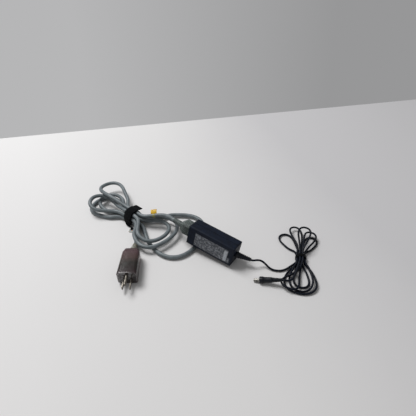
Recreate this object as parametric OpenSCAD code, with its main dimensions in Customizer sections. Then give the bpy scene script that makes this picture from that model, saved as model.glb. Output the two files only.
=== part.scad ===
// Laptop power adapter: a two-shell brick with its board inside, a detachable mains
// lead hanked under a strap, and a captive low-voltage lead ending in a barrel plug.
// +X runs along the brick to the low-voltage end, +Z is up, the floor is z = 0.

/* [Brick] */
// Length of the brick from the inlet end to the cord end
brick_l = 95; // [88:1:110]
// Width of the label face
brick_w = 39; // [36:1:48]
// Thickness from the label face to the plain face
brick_t = 33; // [31:1:40]
// Wall of the two half shells
wall = 2.2; // [2:0.1:2.6]
// Radius of every outer edge
edge_r = 2.6; // [1.6:0.2:3.4]
// Nose-down tilt, where a cord loop lifts the inlet end
lift_angle = 6; // [5:0.5:8]
// Lean of the brick about its own length
lean_angle = 11.5; // [8:0.5:13]

/* [Shell joint] */
// Height of the tongue that lines up the two shells
tongue_h = 1.5; // [1:0.1:2]
// Thickness of that tongue
tongue_t = 1; // [0.8:0.1:1.2]
// Slack round the tongue and round every fitted piece
fit_gap = 0.15; // [0.1:0.01:0.25]
// Width of the reveal groove round the joint
groove_w = 0.6; // [0.3:0.1:1]
// Depth of the reveal groove
groove_d = 0.5; // [0.3:0.1:0.7]

/* [Label] */
// Length of the rating label
label_l = 69; // [50:1:70]
// Height of the rating label
label_w = 26; // [16:1:30]
// Thickness of the label in its recess
label_t = 0.25; // [0.2:0.05:0.4]
// How far the label's middle sits towards the cord end
label_shift = 3.5; // [0:0.5:4]
// How far it sits below the middle of its face
label_drop = 1.5; // [0:0.5:3]
// Length of the small blank patch beside the label
patch_l = 4; // [3:0.5:5]
// Height of that patch
patch_w = 11; // [6:0.5:14]
// Space between the label and the patch
patch_space = 1; // [1:0.5:2]

/* [Mains inlet] */
// Width of the inlet housing, across the pin row
inlet_w = 27.8; // [27.4:0.1:28.4]
// Height of the inlet housing
inlet_t = 19.8; // [19.4:0.1:20.4]
// Depth of the inlet housing
inlet_depth = 18.5; // [18.5:0.1:20]
// Depth of the inlet cavity
cavity_depth = 16; // [15.8:0.1:16.4]
// Width of the connector nose
nose_w = 24; // [23.6:0.1:24.2]
// Height of the connector nose
nose_t = 16; // [15.6:0.1:16.2]
// Size of the two cut corners on the earth side
nose_cut = 5; // [4.5:0.1:5.5]
// Slack between the nose and the cavity, each side
mate_gap = 0.3; // [0.2:0.05:0.4]
// Spacing of the two live pins
pin_pitch = 14; // [13.8:0.1:14.2]
// How far the earth pin stands off the live row
earth_drop = 4; // [3.8:0.1:4.2]
// Thickness of a pin
pin_w = 2; // [1.9:0.05:2.1]
// Height of a pin
pin_h = 4; // [3.9:0.05:4.1]

/* [Mains connector] */
// Length of the nose that goes into the inlet
nose_l = 15.2; // [14.8:0.1:15.4]
// Width of the grip
grip_w = 27; // [25:0.5:28]
// Thickness of the grip
grip_t = 19.5; // [18:0.5:21]
// Length of the straight part of the grip
grip_l = 15; // [10:0.5:17]
// Length of the tapered back of the grip
taper_l = 8; // [6:0.5:12]
// Ribbed relief behind the connector: length
mains_relief_l = 21; // [20:0.5:26]
// Travel of the connector out of the inlet
pull_travel = 22; // [18:1:30]

/* [Mains cord] */
// Diameter of the mains cord
mains_d = 7.6; // [7:0.1:7.8]
// Width of the strap round the hank
strap_w = 20; // [16:1:22]
// Thickness of the strap
strap_t = 1.5; // [1:0.1:2]
// Spacing of the cord's passes under the strap
mains_step = 9; // [8.8:0.1:9.4]

/* [Mains plug] */
// Length of the plug body
plug_l = 60; // [50:1:64]
// Width of the plug body, across the blades
plug_w = 34; // [32:0.5:37]
// Thickness of the plug body
plug_t = 28; // [26:0.5:30]
// Spacing of the two flat blades
blade_pitch = 12.7; // [12.6:0.05:12.8]
// Width of a blade
blade_w = 6.35; // [6.2:0.05:6.5]
// Thickness of a blade
blade_t = 1.52; // [1.4:0.02:1.6]
// Length of a blade in front of the plug
blade_l = 18; // [16:0.5:18.2]
// Diameter of the earth pin
earth_d = 4.75; // [4.6:0.05:4.9]
// Length of the earth pin in front of the plug
earth_l = 21; // [19:0.5:21.5]
// How far the earth pin stands off the blades
earth_off = 11.9; // [11.7:0.05:12.1]

/* [Low-voltage cord] */
// Diameter of the low-voltage cord
dc_d = 3.6; // [3.2:0.1:3.7]
// Length of the ribbed relief at the brick
dc_relief_l = 24; // [22:1:30]
// Diameter of that relief where it leaves the brick
dc_relief_d = 11; // [9:0.5:12]
// Spacing of the cord's passes under its tie
dc_step = 4.8; // [4.7:0.1:5.2]
// Width of the tie round that hank
dc_tie_w = 6; // [4:0.5:8]
// Thickness of that tie
dc_tie_t = 0.6; // [0.5:0.1:1]

/* [Barrel plug] */
// Outer diameter of the barrel
barrel_d = 5.5; // [5.4:0.05:5.6]
// Bore of the barrel's insulator
barrel_bore = 2.5; // [2.4:0.05:2.6]
// Length of the barrel in front of its grip
barrel_l = 10; // [9:0.5:11]
// Wall of the metal sleeve
sleeve_wall = 0.4; // [0.3:0.05:0.5]
// Length of the moulded grip
dc_grip_l = 37; // [32:1:42]
// Diameter of the grip at its collar
dc_grip_d = 11.5; // [9:0.5:12]

/* [Hidden] */
$fn = 48;
eps = 0.01;

// ---- general functions ----
function unit(v) = v / norm(v);
// smooth step from 0 to 1
function ease(x) = let(c = min(max(x, 0), 1)) c * c * (3 - 2 * c);
function mix(a, b, t) = a + (b - a) * t;
function flat(list) = [for (part = list) for (item = part) item];
// direction of a route at its point i
function heading(route, i) =
    i == 0 ? unit(route[1] - route[0]) :
    i == len(route) - 1 ? unit(route[i] - route[i - 1]) :
    unit(unit(route[i + 1] - route[i]) + unit(route[i] - route[i - 1]));
// one ring of a tube: n corners round a point of the route
function ring(route, i, r, n) =
    let(ahead = heading(route, i), across = unit(cross([0, 0, 1], ahead)),
        up = cross(ahead, across))
    [for (k = [0:n - 1]) let(a = 360 * (k + 0.5) / n)
        route[i] + r * (cos(a) * across + sin(a) * up)];
// Catmull-Rom point between route[i] and route[i + 1]
function spline(route, i, t) =
    let(b = route[i], c = route[i + 1],
        a = route[i - 1], d = route[i + 2])
    0.5 * (2 * b + (c - a) * t + (2 * a - 5 * b + 4 * c - d) * t * t
        + (3 * b - a - 3 * c + d) * t * t * t);
// the inner spans of a route rounded off; its two end spans stay straight
function smooth_route(route, steps) = concat([route[0]],
    [for (i = [1:len(route) - 3]) for (s = [0:steps - 1]) spline(route, i, s / steps)],
    [route[len(route) - 2], route[len(route) - 1]]);
function route_length(route, i = 1) =
    i == len(route) ? 0 : norm(route[i] - route[i - 1]) + route_length(route, i + 1);

// ---- the brick's pose: it leans back and rests on its rear lower edge ----
down_x = sin(lift_angle);
down_y = cos(lift_angle) * sin(lean_angle);
down_z = cos(lift_angle) * cos(lean_angle);
rest_z = down_x * (brick_l / 2 - edge_r) + down_y * (brick_t / 2 - edge_r)
    + down_z * (brick_w / 2 - edge_r)
    + edge_r * sqrt(pow(down_x + down_y, 2) + down_z * down_z);
// a point of the brick's own frame, on the floor's frame
function placed(p) =
    let(y = p[1] * cos(lean_angle) + p[2] * sin(lean_angle),
        z = -p[1] * sin(lean_angle) + p[2] * cos(lean_angle))
    [p[0] * cos(lift_angle) + z * sin(lift_angle), y,
        -p[0] * sin(lift_angle) + z * cos(lift_angle) + rest_z];

// ---- inside sizes of the brick ----
half_l = brick_l / 2;
half_t = brick_t / 2;
half_w = brick_w / 2;
inner_l = brick_l - 2 * wall;
inner_t = brick_t - 2 * wall;
inner_w = brick_w - 2 * wall;
film_t = 0.3;
board_t = 1.6;
board_pad = 1.2;
board_back = inner_t / 2 - board_pad;
board_face = board_back - board_t;
board_gap = 0.4;
board_l = inner_l - 2 * board_gap;
board_w = inner_w - 2 * board_gap;
post = 2;
cavity_w = nose_w + 2 * mate_gap;
cavity_t = nose_t + 2 * mate_gap;
live_y = earth_drop / 2;
earth_y = -earth_drop / 2;
PINS = [[-pin_pitch / 2, live_y, 1.5], [pin_pitch / 2, live_y, 1.5], [0, earth_y, 0.8]];

// ---- parts on the board, placed from the inlet towards the cord end ----
inlet_back = -half_l + inlet_depth;
pin_tail = 2.5;
xcap = [6, 12, 17];
fuse_r = 1.8;
fuse_l = 10;
choke_r = 7.5;
choke_hole = 3.2;
choke_t = 7;
bridge = [4, 11, 15];
bulk_r = 8;
bulk_l = 28;
sink_t = 1.5;
sink_h = 19;
chip = [4.5, 15, 10];
core = [18, 10, 24];
core_leg = 8;
coil_r = 8.2;
bobbin_t = 0.8;
outcap_r = 4;
outcap_h = 16;
outchoke_r = 4;
space = 1;
filter_x = inlet_back + pin_tail + space + xcap[0] + space + choke_t / 2;
bulk_x = filter_x + choke_t / 2 + space + bulk_r;
sink_x = bulk_x + bulk_r + space;
chip_x = sink_x + sink_t;
core_x = chip_x + chip[0] + space + core[0] / 2;
sink2_x = core_x + core[0] / 2 + space;
outcap_x = half_l - wall - post - outcap_r - board_gap;
core_y = board_face - space - coil_r;
lead_r = 0.4;

flange_t = 1.5;
flange_h = 1.2;
rib_t = 1.5;
foot = 4;
flange_w = inlet_w - 8;
flange_x = -half_l + wall + fit_gap + flange_t / 2;
post_w = (inner_w - inlet_w) / 2 - 2 * fit_gap;
pad_l = 4;
pad_w = 4;
sink_w = inner_w - 4 * board_gap;
window_l = core[0] - 2 * 3.5;
window_w = coil_r - core_leg / 2 + 2 * fit_gap;
choke_z = -inner_w / 2 + space + choke_r;
bridge_z = inner_w / 2 - space - bridge[2] / 2;
fuse_x = inlet_back + pin_tail + space + fuse_r;
chip2_t = space;
sink2_z = -sink_w / 8;
outcap_z = board_w / 2 - outcap_r - 0.5;
outchoke_t = 4.4;
label_x = label_shift;
patch_x = label_x + label_l / 2 + patch_space + patch_l / 2;
patch_z = -label_drop - (label_w - patch_w) / 2;

// ---- mains connector ----
shoulder_gap = 0.5;
nose_tip = -half_l - shoulder_gap + nose_l;
grip_front = -half_l - shoulder_gap;
grip_back = grip_front - grip_l - taper_l;
tail_w = 15;
tail_t = 13;
slot_w = pin_w + 0.9;
slot_h = pin_h + 0.9;
slot_depth = 1.5;
pocket_w = 5.6;
pocket_h = 5.4;
clip_w = pocket_w - 2 * fit_gap;
clip_h = pocket_h - 2 * fit_gap;
clip_in_w = pin_w + 0.6;
clip_in_h = pin_h + 0.5;
pocket_l = nose_l + 2 - slot_depth;
clip_l = pocket_l - 0.2;
mains_relief_d = 11.5;
mains_tip_d = 9.8;
rib_groove = 0.55;

// ---- low-voltage relief ----
dc_neck_d = 8;
dc_flange_t = 1.6;
dc_tip_d = 6.6;
dc_collar_l = 4;

// ---- hanks: every loop leaves the tie, turns back and comes home to it ----
// seats under the tie: [across, up]; passes are numbered along the cord
// tie: [middle, angle, width, run-out, straight end, side of the free ends]
// loop: [side, pass in, pass out, first swing, reach, width, heading,
//        height out, height at the far end, height home, gather, bulb]
function loop_point(t, loop, seats, tie) =
    let(side = loop[0], from = seats[loop[1]], to = seats[loop[2]], reach = loop[4],
        out = reach * sin(180 * t), open = ease(out / (loop[10] * reach)),
        away = ease(out / tie[3]), seat = mix(from, to, ease(t)),
        swing = loop[3] * loop[5] / 2 * open * (sin(360 * t) - loop[11] * sin(720 * t)),
        turn = loop[6] * open,
        height = t < 0.5 ? mix(loop[7], loop[8], ease(2 * t))
            : mix(loop[8], loop[9], ease(2 * t - 1)),
        along = side * (tie[2] / 2 + out * cos(turn) - swing * sin(turn)),
        across = out * sin(turn) + swing * cos(turn) + seat[0] * (1 - away))
    concat(on_tie(along, across, tie), mix(seat[1], height, away));
function on_tie(along, across, tie) = let(c = cos(tie[1]), s = sin(tie[1]))
    [tie[0][0] + along * c - across * s, tie[0][1] + along * s + across * c];
// the cord's end, one straight length outside the tie
function tie_end(seat, tie, reach = 1) =
    concat(on_tie(tie[5] * (tie[2] / 2 + tie[4] * reach), seat[0], tie), seat[1]);
loop_rings = 24;
function hank_route(loops, seats, tie) = concat(
    [tie_end(seats[0], tie)],
    flat([for (loop = loops)
        [for (k = [0:loop_rings - 1]) loop_point(k / (loop_rings - 1), loop, seats, tie)]]),
    [tie_end(seats[len(seats) - 1], tie)]);
// least distance between stretches of a route that lie more than skip rings apart
function off_stretch(p, a, b) =
    let(d = b - a, t = min(max((p - a) * d / (d * d), 0), 1)) norm(p - a - d * t);
function least_gap(route, skip) = min([for (i = [0:len(route) - 1])
    for (j = [i + skip:1:len(route) - 2]) off_stretch(route[i], route[j], route[j + 1])]);

// mains hank: one seat a pass, three and three and two high
strap_gap = 0.3;
MAINS_TIE = [[-186, -14], -6, strap_w, 75, mains_d, 1];
row_a = mains_d / 2 + strap_gap + strap_t + 0.4;
row_b = row_a + mains_step;
row_c = row_b + mains_step * 0.9;
MAINS_SEATS = [[mains_step / 2, row_c], [mains_step, row_b], [-mains_step, row_b],
    [-mains_step / 2, row_c], [0, row_b], [0, row_a], [mains_step, row_a],
    [-mains_step, row_a]];
MAINS_LOOPS = [
    [-1, 0, 1, -1, 115, 45, 17, 36, 21.6, 19.3, 0.36, 0.11],
    [1, 1, 2, 1, 94, 88, -3, 15, 12.9, 13.3, 0.4, 0],
    [-1, 2, 3, -1, 92, 44, -15, 11, 26, 9.7, 0.79, 0.05],
    [1, 3, 4, -1, 82, 62, -5, 19.2, 13.9, 13.2, 0.55, 0],
    [-1, 4, 5, 1, 89, 45, 3, 14, 12.9, 4.7, 0.58, 0],
    [1, 5, 6, -1, 143, 120, 14, 4.5, 4.5, 6.6, 0.4, 0],
    [-1, 6, 7, 1, 97, 59, -7, 4.4, 4.4, 4.5, 0.39, 0.04]];
mains_hank_route = hank_route(MAINS_LOOPS, MAINS_SEATS, MAINS_TIE);
echo(mains_hank_gap = least_gap(mains_hank_route, 4) - mains_d);

// low-voltage hank: four and four and two high
DC_TIE = [[145, 68], 112, dc_tie_w, 30, dc_d, -1];
tie_slack = 0.2;
dc_row = dc_d / 2 + tie_slack + dc_tie_t;
function dc_seat(column, row) = [(column - 1.5) * dc_step, dc_row + row * dc_step];
DC_SEATS = [dc_seat(3, 0), dc_seat(2, 0), dc_seat(0, 0), dc_seat(1, 0), dc_seat(2, 1),
    dc_seat(3, 1), dc_seat(0, 1), dc_seat(1, 1), dc_seat(1, 2), dc_seat(2, 2)];
DC_LOOPS = [
    [1, 0, 1, 1, 65, 25, 31, 2.4, 2.7, 2.2, 0.44, 0.1],
    [-1, 1, 2, 1, 75, 54, 2, 2.2, 2.5, 7.4, 0.35, 0],
    [1, 2, 3, -1, 62, 22, -25, 2.4, 2.4, 2.3, 0.45, 0.1],
    [-1, 3, 4, -1, 62, 26, 0, 2.2, 2.3, 5.5, 0.42, 0.1],
    [1, 4, 5, -1, 77, 22, 8, 5.4, 7.7, 16.6, 0.4, 0.11],
    [-1, 5, 6, 1, 70, 39, 1, 6.3, 2.2, 12.2, 0.35, 0],
    [1, 6, 7, -1, 68, 20, -20, 7.9, 9.3, 17.8, 0.35, 0.19],
    [-1, 7, 8, -1, 75, 25, 18, 4, 8.1, 9.2, 0.88, 0.36],
    [1, 8, 9, -1, 68, 22, -7, 21.9, 18.2, 16.9, 0.38, 0.1]];
dc_hank_route = hank_route(DC_LOOPS, DC_SEATS, DC_TIE);
echo(dc_hank_gap = least_gap(dc_hank_route, 4) - dc_d);

// ---- free stretches: chosen points between computed ends ----
function heading_of(azimuth, rise) =
    [cos(rise) * cos(azimuth), cos(rise) * sin(azimuth), sin(rise)];
// relief behind the connector: [azimuth, rise] and its two ends
mains_relief_aim = [170, -1];
mains_relief_root = placed([grip_back, 0, 0]);
mains_ahead = heading_of(mains_relief_aim[0], mains_relief_aim[1]);
mains_relief_tip = mains_relief_root + mains_relief_l * mains_ahead;
mains_lead_route = [mains_relief_tip, mains_relief_tip + mains_d * mains_ahead,
    [-108, 7.6, 32], [-121, 6.6, 30.2], [-133, 2, 28], [-144, -4.6, 26], [-152, -9.4, 24.4],
    tie_end(MAINS_SEATS[0], MAINS_TIE, 2), tie_end(MAINS_SEATS[0], MAINS_TIE)];
// mains plug: middle of its face, azimuth and rise of its axis
plug_face_at = [-84, -141, 14.8];
plug_aim = [-56, 0];
plug_ahead = heading_of(plug_aim[0], plug_aim[1]);
plug_rear_at = plug_face_at - plug_l * plug_ahead;
plug_relief_l = 28;
plug_relief_d = 13;
plug_relief_aim = [-58, 19];
plug_relief_ahead = heading_of(plug_relief_aim[0], plug_relief_aim[1]);
plug_relief_tip = plug_rear_at - plug_relief_l * plug_relief_ahead;
shoulder_l = 9;
// how deep the relief sits in the plug
socket_in = 4;
face_t = 6;
rim = 1.6;
blade_x = 4.5;
earth_root_d = earth_d - 0.9;
mains_tail_route = [tie_end(MAINS_SEATS[7], MAINS_TIE),
    tie_end(MAINS_SEATS[7], MAINS_TIE, 1.5), [-161.6, -29, 5.2], [-155.5, -36.5, 4.4],
    [-149, -45, 4.1], [-141.5, -55, 4.1],
    plug_relief_tip - 0.4 * mains_d * plug_relief_ahead, plug_relief_tip];
// ring at the strap's foot, and the tag on the lead
ring_at = [-169, -39];
ring_turn = 25;
ring_size = 10;
tag_at = [-136.5, -0.2, 27.4];
tag_aim = [211, -10];
tag_turn = 136;
// low-voltage relief and lead
dc_relief_aim = [15, -12];
dc_relief_root = placed([half_l + dc_collar_l, 0, 0]);
dc_ahead = heading_of(dc_relief_aim[0], dc_relief_aim[1]);
dc_relief_tip = dc_relief_root + dc_relief_l * dc_ahead;
dc_lead_route = [dc_relief_tip, dc_relief_tip + dc_d * dc_ahead,
    [81.4, 11.4, 14.9], [87.5, 16.6, 13], [94.5, 18.6, 9.4], [101.2, 17.9, 5.8],
    [107.4, 17.3, 3.5], [113.5, 17.8, 2.5],
    [121, 20.6, 2.3], [128.3, 26.4, 2.3], [133.5, 35, 2.4], [136.6, 43.4, 2.5],
    [139.9, 51, 2.6],
    tie_end(DC_SEATS[0], DC_TIE, 1.5), tie_end(DC_SEATS[0], DC_TIE)];
// barrel plug: rear of its grip and the line of its axis
grip_rear_at = [137, -4, 13.2];
grip_aim = [202, -12];
grip_ahead = heading_of(grip_aim[0], grip_aim[1]);
grip_tail_l = 15;
barrel_root = 5;
barrel_flange = barrel_d + 1.4;
sleeve_bore = barrel_d - 2 * sleeve_wall;
// spring contact at the bottom of the bore
contact_d = barrel_bore + 0.8;
contact_l = barrel_root + 2;
dc_tail_route = [tie_end(DC_SEATS[9], DC_TIE), tie_end(DC_SEATS[9], DC_TIE, 2),
    [147.5, 50, 12.2], [149.5, 38, 13], [151, 26, 13.4], [152, 14, 13.8],
    [151, 5, 14.2], [146.5, -0.6, 14.2], grip_rear_at - dc_d * grip_ahead, grip_rear_at];

echo(mains_cord_length = route_length(mains_lead_route) + route_length(mains_hank_route)
    + route_length(mains_tail_route));
echo(dc_cord_length = route_length(dc_lead_route) + route_length(dc_hank_route)
    + route_length(dc_tail_route));

// ---- shared shapes ----
module place() {
    translate([0, 0, rest_z]) rotate([-lean_angle, lift_angle, 0]) children();
}
// turns +Z onto an aim [azimuth, rise] and starts it at a point
module aimed(at, aim) {
    translate(at) rotate([0, 90 - aim[1], aim[0]]) children();
}
module rounded(a, b, r) {
    square([a - 2 * r, b], center = true);
    square([a, b - 2 * r], center = true);
    for (x = [-1, 1]) for (y = [-1, 1])
        translate([x * (a / 2 - r), y * (b / 2 - r)]) circle(r);
}
module along_x(l) { rotate([90, 0, 90]) linear_extrude(l, center = true) children(); }
module along_y(l) { rotate([90, 0, 0]) linear_extrude(l, center = true) children(); }
module soft_block(l, t, w, r) {
    intersection() {
        linear_extrude(w, center = true) rounded(l, t, r);
        along_y(t) rounded(l, w, r);
        along_x(l) rounded(t, w, r);
    }
}
// a cord: rings of n corners joined by triangles
module tube(route, d, n) {
    last = (len(route) - 1) * n;
    walls = [for (i = [0:len(route) - 2]) for (k = [0:n - 1])
        let(a = i * n + k, b = i * n + (k + 1) % n) each [[a, a + n, b + n], [a, b + n, b]]];
    ends = [for (k = [1:n - 2]) each [[0, k, k + 1], [last, last + k + 1, last + k]]];
    polyhedron(flat([for (i = [0:len(route) - 1]) ring(route, i, d / 2, n)]),
        concat(walls, ends));
}
// ribbed cone along +Z: ribs with grooves between them, on a plain root
function ribbed_profile(l, d0, d1, ribs, root) =
    let(pitch = (l - root) / (ribs - 0.4))
    concat([[0, 0], [d0 / 2, 0]],
        [for (k = [0:ribs - 1]) let(a = root + k * pitch, b = a + 0.6 * pitch, c = a + pitch)
            each concat(a > 0 ? [[mix(d0, d1, (a - root) / (l - root)) / 2, a]] : [],
                [[mix(d0, d1, (b - root) / (l - root)) / 2, b]],
                k < ribs - 1 ? [[mix(d0, d1, (b - root) / (l - root)) / 2 - rib_groove, b],
                    [mix(d0, d1, (c - root) / (l - root)) / 2 - rib_groove, c]] : [])],
        [[0, l]]);
module ribbed(l, d0, d1, ribs, root = 0) {
    rotate_extrude() polygon(ribbed_profile(l, d0, d1, ribs, root));
}

// ---- the two shells ----
module case_ports() {
    translate([-half_l, 0, 0])
        cube([4 * wall, inlet_t + 2 * fit_gap, inlet_w + 2 * fit_gap], center = true);
    translate([half_l - 2 * wall, 0, 0]) rotate([0, 90, 0])
        cylinder(h = 4 * wall, d = dc_neck_d + 2 * fit_gap);
}
module reveal_groove() {
    difference() {
        cube([brick_l + 2, groove_w, brick_w + 2], center = true);
        along_y(2 * groove_w)
            rounded(brick_l - 2 * groove_d, brick_w - 2 * groove_d, edge_r - groove_d);
    }
}
module case_half(side) {
    difference() {
        intersection() {
            soft_block(brick_l, brick_t, brick_w, edge_r);
            translate([0, side * brick_t / 2, 0])
                cube([2 * brick_l, brick_t, 2 * brick_w], center = true);
        }
        cube([inner_l, inner_t, inner_w], center = true);
        case_ports();
        reveal_groove();
    }
}
module tongue(grow) {
    difference() {
        translate([0, (tongue_h + grow - tongue_t) / 2, 0])
            cube([inner_l + 2 * (tongue_t + grow), tongue_h + grow + tongue_t,
                inner_w + 2 * (tongue_t + grow)], center = true);
        cube([inner_l, inner_t, inner_w], center = true);
        case_ports();
    }
}
module corners(x, z) {
    for (a = [-1, 1]) for (b = [-1, 1]) translate([a * x, 0, b * z]) children();
}
module shell_label_side() {
    color("#2b2a33") place() {
        post_h = inner_t / 2 + board_face - fit_gap;
        difference() {
            union() {
                case_half(-1);
                tongue(0);
                corners(inner_l / 2 - post / 2, inner_w / 2 - post_w / 2)
                    translate([0, -inner_t / 2 + post_h / 2, 0])
                        cube([post, post_h, post_w], center = true);
                // rib that holds the inlet's flange against the end wall
                translate([flange_x + flange_t / 2 + fit_gap + rib_t / 2,
                    -(inner_t + inlet_t) / 4 - fit_gap / 2, 0])
                    cube([rib_t, (inner_t - inlet_t) / 2 - fit_gap, flange_w], center = true);
            }
            translate([label_x, -half_t, -label_drop]) cube([label_l + 2 * fit_gap, 2 * label_t,
                label_w + 2 * fit_gap], center = true);
            translate([patch_x, -half_t, patch_z]) cube([patch_l + 2 * fit_gap, 2 * label_t,
                patch_w + 2 * fit_gap], center = true);
        }
    }
}
module shell_plain_side() {
    color("#292831") place() {
        difference() {
            case_half(1);
            tongue(fit_gap);
        }
        corners(inner_l / 2 - pad_l / 2, inner_w / 2 - pad_w / 2)
            translate([0, inner_t / 2 - board_pad / 2, 0])
                cube([pad_l, board_pad, pad_w], center = true);
    }
}
module rating_label() {
    color("#b9bac2") place() translate([label_x, -half_t + label_t / 2, -label_drop])
        cube([label_l, label_t, label_w], center = true);
}
module blank_patch() {
    color("#a9abb5") place() translate([patch_x, -half_t + label_t / 2, patch_z])
        cube([patch_l, label_t, patch_w], center = true);
}

// ---- mains inlet: the connector's outline with two corners cut on the earth side ----
module nose_outline(w, t, cut) {
    polygon([[t / 2, -w / 2], [t / 2, w / 2], [-t / 2 + cut, w / 2], [-t / 2, w / 2 - cut],
        [-t / 2, -w / 2 + cut], [-t / 2 + cut, -w / 2]]);
}
module inlet_housing() {
    color("#1d1d20") place() difference() {
        union() {
            translate([-half_l + inlet_depth / 2, 0, 0])
                cube([inlet_depth, inlet_t, inlet_w], center = true);
            translate([flange_x, -inlet_t / 2 - flange_h / 2 + eps, 0])
                cube([flange_t, flange_h + 2 * eps, flange_w], center = true);
            for (z = [-1, 1]) translate([inlet_back - foot, (board_face + inlet_t / 2) / 2,
                z * inlet_w / 4])
                cube([foot, board_face - inlet_t / 2, foot], center = true);
        }
        translate([-half_l + cavity_depth / 2, 0, 0])
            along_x(cavity_depth + 2 * eps) nose_outline(cavity_w, cavity_t, nose_cut);
        for (pin = PINS) translate([inlet_back, pin[1], pin[0]])
            cube([inlet_depth, pin_h, pin_w], center = true);
    }
}
module inlet_pins() {
    color("#c9ccd1") place() for (pin = PINS) {
        tip = -half_l + pin[2];
        back = inlet_back + pin_tail;
        translate([(tip + back) / 2, pin[1], pin[0]])
            cube([back - tip, pin_h, pin_w], center = true);
        translate([back - pin_w / 2, (pin[1] + board_face) / 2, pin[0]])
            cube([pin_w, board_face - pin[1], pin_w / 2], center = true);
    }
}

// ---- the board and what it carries: everything stands on its face towards -Y ----
module on_board(x, z, h) {
    translate([x, board_face - h / 2, z]) children();
}
module leads(x, z, from, points) {
    for (p = points) translate([x + p[0], from, z + p[1]]) rotate([-90, 0, 0])
        cylinder(h = board_face - from, r = lead_r, $fn = 16);
}
module circuit_board() {
    color("#b08d4a") place() translate([0, (board_face + board_back) / 2, 0])
        cube([board_l, board_t, board_w], center = true);
}
module insulation_sheet() {
    color("#e8e4d2") place() translate([0, inner_t / 2 - film_t / 2, 0])
        cube([inner_l - 2 * pad_l - 2 * board_gap, film_t, board_w], center = true);
}
module fuse() {
    color("#cfd3d6") place() {
        translate([fuse_x, board_face - fuse_r - space, -inner_w / 2 + 2 + fuse_l / 2]) {
            cylinder(h = fuse_l - 4, r = fuse_r - 0.2, center = true);
            for (z = [-1, 1]) translate([0, 0, z * (fuse_l / 2 - 1)])
                cylinder(h = 2 + eps, r = fuse_r, center = true);
        }
        leads(fuse_x, -inner_w / 2 + 2 + fuse_l / 2, board_face - space - fuse_r / 2,
            [[0, -fuse_l / 2 + 1], [0, fuse_l / 2 - 1]]);
    }
}
module x_capacitor() {
    color("#c9a227") place() on_board(filter_x - choke_t / 2 - space - xcap[0] / 2,
        inner_w / 2 - space - xcap[2] / 2, xcap[1])
        cube(xcap, center = true);
}
module filter_choke() {
    color("#6a4a2c") place() translate([filter_x, board_face - choke_r - 1.2, choke_z])
        rotate([0, 90, 0]) {
            difference() {
                cylinder(h = choke_t - 3, r = choke_r, center = true);
                cylinder(h = choke_t, r = choke_hole, center = true);
            }
            // the two windings
            for (a = [30, 210]) rotate([0, 0, a]) rotate_extrude(angle = 120)
                translate([choke_hole - 0.8, -choke_t / 2])
                    square([choke_r - choke_hole + 1.6, choke_t]);
        }
    color("#6a4a2c") place()
        leads(filter_x, choke_z, board_face - 2.4, [[0, -3], [0, 3]]);
}
module bridge_rectifier() {
    color("#202020") place() {
        on_board(filter_x, bridge_z, bridge[1] + 2 * space)
            translate([0, -space, 0]) cube(bridge, center = true);
        leads(filter_x, bridge_z, board_face - 2 * space, [for (k = [-1.5:1:1.5]) [0, k * 3.8]]);
    }
}
module bulk_capacitor() {
    color("#3a3f5c") place() translate([bulk_x, board_face - bulk_r - 0.5, 0]) {
        rotate_extrude() polygon([[0, -bulk_l / 2], [bulk_r - 0.6, -bulk_l / 2],
            [bulk_r, -bulk_l / 2 + 0.8], [bulk_r, bulk_l / 2 - 4],
            [bulk_r - 0.6, bulk_l / 2 - 3.4], [bulk_r, bulk_l / 2 - 2.8],
            [bulk_r, bulk_l / 2 - 0.8], [bulk_r - 0.6, bulk_l / 2], [0, bulk_l / 2]]);
        translate([0, bulk_r / 2 + 0.25, 0])
            cube([3, bulk_r + 0.5, bulk_l / 2], center = true);
    }
}
module primary_heatsink() {
    color("#b9bcc0") place() on_board(sink_x + sink_t / 2, 0, sink_h)
        cube([sink_t, sink_h, sink_w], center = true);
}
module switching_transistor() {
    color("#1f1f1f") place() {
        translate([chip_x + chip[0] / 2, board_face - 3 - chip[1] / 2, sink_w / 4])
            cube(chip, center = true);
        leads(chip_x + chip[0] / 2, sink_w / 4, board_face - 3, [[0, -2.5], [0, 0], [0, 2.5]]);
    }
}
module transformer_core() {
    color("#3b3b3d") place() translate([core_x, core_y, 0]) difference() {
        cube(core, center = true);
        for (z = [-1, 1]) translate([0, 0, z * (core_leg / 2 + window_w / 2)])
            cube([window_l, core[1] + 1, window_w], center = true);
    }
}
module transformer_winding() {
    color("#d8b23a") place() translate([core_x, core_y, 0]) {
        difference() {
            union() {
                rotate([0, 90, 0]) cylinder(h = window_l - 2 * fit_gap, r = coil_r - 0.6,
                    center = true);
                for (x = [-1, 1]) translate([x * (window_l / 2 - fit_gap - bobbin_t / 2), 0, 0])
                    rotate([0, 90, 0]) cylinder(h = bobbin_t, r = coil_r, center = true);
            }
            cube([core[0], core[1] + 2 * fit_gap, core_leg + 2 * fit_gap], center = true);
        }
        // its two feet on the board
        for (z = [-1, 1]) translate([0, (coil_r - 2 + board_face - core_y) / 2, z * 3])
            cube([window_l - 2 * fit_gap, board_face - core_y - coil_r + 2, 2], center = true);
    }
}
module secondary_heatsink() {
    color("#b9bcc0") place() on_board(sink2_x + sink_t / 2, -sink_w / 8, sink_h)
        cube([sink_t, sink_h, sink_w * 0.7], center = true);
}
module output_rectifier() {
    color("#1f1f1f") place() {
        translate([sink2_x - chip2_t / 2, board_face - 3 - chip[1] / 2, sink2_z])
            cube([chip2_t, chip[1], chip[2]], center = true);
        leads(sink2_x - chip2_t / 2, sink2_z, board_face - 3, [[0, -2.5], [0, 2.5]]);
    }
}
module output_capacitors() {
    color("#2f4f3a") place() for (z = [-1, 1])
        translate([outcap_x, board_face, z * outcap_z]) rotate([90, 0, 0])
            rotate_extrude() polygon([[0, 0], [outcap_r - 0.3, 0], [outcap_r, 0.6],
                [outcap_r, outcap_h - 0.6], [outcap_r - 0.5, outcap_h], [0, outcap_h]]);
}
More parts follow.
